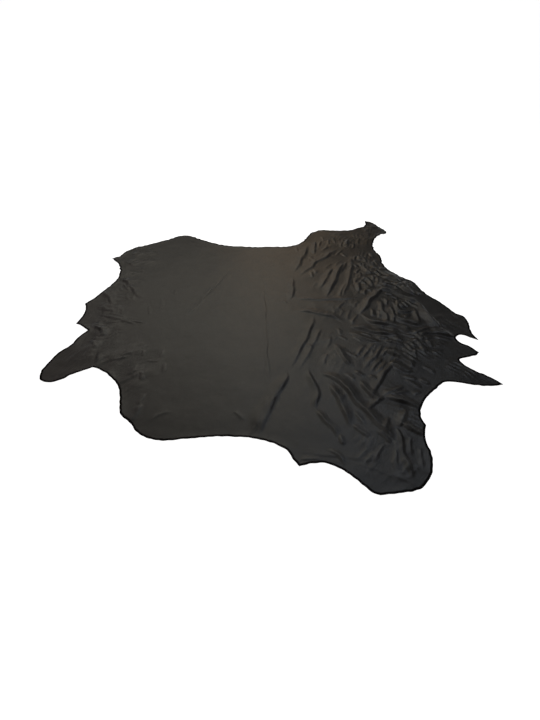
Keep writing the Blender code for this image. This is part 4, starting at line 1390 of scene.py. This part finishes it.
@dataclass(frozen=True)
class Studio:
    """The pale floor, the soft lights and the camera, which stands as the photographer did."""

    floor_radius: float = 90.0
    floor_sides: int = 96
    floor_roughness: float = 0.9
    floor_tone: float = 0.90
    floor_glow: float = 0.97
    floor_drop: float = 0.0004
    room_tone: tuple[float, float, float, float] = (0.96, 0.98, 1.0, 1.0)
    room_strength: float = 0.03
    wall_strength: float = 0.85
    wall_top_deg: float = 11.0
    backdrop_strength: float = 1.0
    camera_place: tuple[float, float, float] = (0.00675, -2.38590, 1.63436)
    camera_down_deg: float = 41.0
    lens_mm: float = 22.0
    film_mm: float = 36.0
    view_reach: float = 200.0

    def camera(self) -> None:
        """A phone held at standing height, looking down at the hide from the belly side."""
        data = bpy.data.cameras.new("camera")
        data.sensor_fit = "VERTICAL"
        data.sensor_height = self.film_mm
        data.lens = self.lens_mm
        data.clip_end = self.view_reach
        camera = bpy.data.objects.new("camera", data)
        camera.location = self.camera_place
        camera.rotation_euler = (math.radians(90.0 - self.camera_down_deg), 0.0, 0.0)
        bpy.context.scene.collection.objects.link(camera)
        bpy.context.scene.camera = camera

    def floor(self) -> None:
        """A wide pale disc, a fan of triangles round its middle."""
        turns = np.linspace(0.0, 2 * math.pi, self.floor_sides + 1)[:-1]
        ring = np.column_stack([np.cos(turns), np.sin(turns), np.zeros(len(turns))]) * self.floor_radius
        places = np.vstack([[0.0, 0.0, 0.0], ring]) - (0.0, 0.0, self.floor_drop)
        numbers = np.arange(1, len(turns) + 1)
        faces = np.column_stack([np.zeros(len(turns), int), numbers, np.roll(numbers, -1)])
        mesh = bpy.data.meshes.new("floor")
        mesh.from_pydata(places.tolist(), [], faces.tolist())
        bench = Bench("floor paint")
        tone = (self.floor_tone, self.floor_tone, self.floor_tone, 1.0)
        mesh.materials.append(bench.finish(
            Base_Color=tone,
            Roughness=self.floor_roughness,
            Emission_Color=(1.0, 1.0, 1.0, 1.0),
            Emission_Strength=self.floor_glow,
        ))
        floor = bpy.data.objects.new("floor", mesh)
        bpy.context.scene.collection.objects.link(floor)

    def lights(self) -> None:
        """The room's dim light with a bright low wall, the soft lamps and an even pale backdrop.

        Only the camera sees the backdrop. The room, the wall and the lamps are what lights the hide and
        what it mirrors.
        """
        world = bpy.data.worlds.new("room")
        world.use_nodes = True
        tree = world.node_tree
        background = tree.nodes["Background"]
        background.inputs["Color"].default_value = self.room_tone
        way = tree.nodes.new("ShaderNodeTexCoord")
        split = tree.nodes.new("ShaderNodeSeparateXYZ")
        rise = tree.nodes.new("ShaderNodeMapRange")
        rise.interpolation_type = "SMOOTHSTEP"
        rise.inputs["From Min"].default_value = 0.0
        rise.inputs["From Max"].default_value = math.sin(math.radians(self.wall_top_deg))
        rise.inputs["To Min"].default_value = self.wall_strength
        rise.inputs["To Max"].default_value = self.room_strength
        tree.links.new(way.outputs["Generated"], split.inputs[0])
        tree.links.new(split.outputs["Z"], rise.inputs["Value"])
        seen = tree.nodes.new("ShaderNodeLightPath")
        strength = tree.nodes.new("ShaderNodeMix")
        strength.inputs["B"].default_value = self.backdrop_strength
        tree.links.new(seen.outputs["Is Camera Ray"], strength.inputs["Factor"])
        tree.links.new(rise.outputs[0], strength.inputs["A"])
        tree.links.new(strength.outputs[0], background.inputs["Strength"])
        bpy.context.scene.world = world
        for lamp in LAMPS:
            data = bpy.data.lights.new(lamp.name, "AREA")
            data.shape = "RECTANGLE"
            data.size = lamp.width
            data.size_y = lamp.height
            data.energy = lamp.watts
            data.color = lamp.colour
            light = bpy.data.objects.new(lamp.name, data)
            light.location = lamp.place
            facing = Vector(lamp.target) - Vector(lamp.place)
            light.rotation_euler = facing.to_track_quat("-Z", "Y").to_euler()
            light.visible_camera = False
            bpy.context.scene.collection.objects.link(light)

    def build(self) -> None:
        """Sets the camera, the floor and the lights, and plain tones with no film look over them."""
        self.camera()
        self.floor()
        self.lights()
        bpy.context.scene.view_settings.view_transform = "Standard"
        bpy.context.scene.view_settings.look = "None"


def main() -> None:
    """Loads the frame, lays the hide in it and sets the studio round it."""
    logging.basicConfig(level=logging.INFO, format="%(message)s")
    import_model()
    Studio().build()
    logging.info("studio: floor, %d lamps and camera", len(LAMPS))
    piece = Hide(Edge(), Relief()).build()
    triangles = sum(len(polygon.vertices) - 2 for polygon in piece.data.polygons)
    logging.info("%s: %d points, %d triangles", piece.name, len(piece.data.vertices), triangles)


if __name__ == "__main__":
    main()
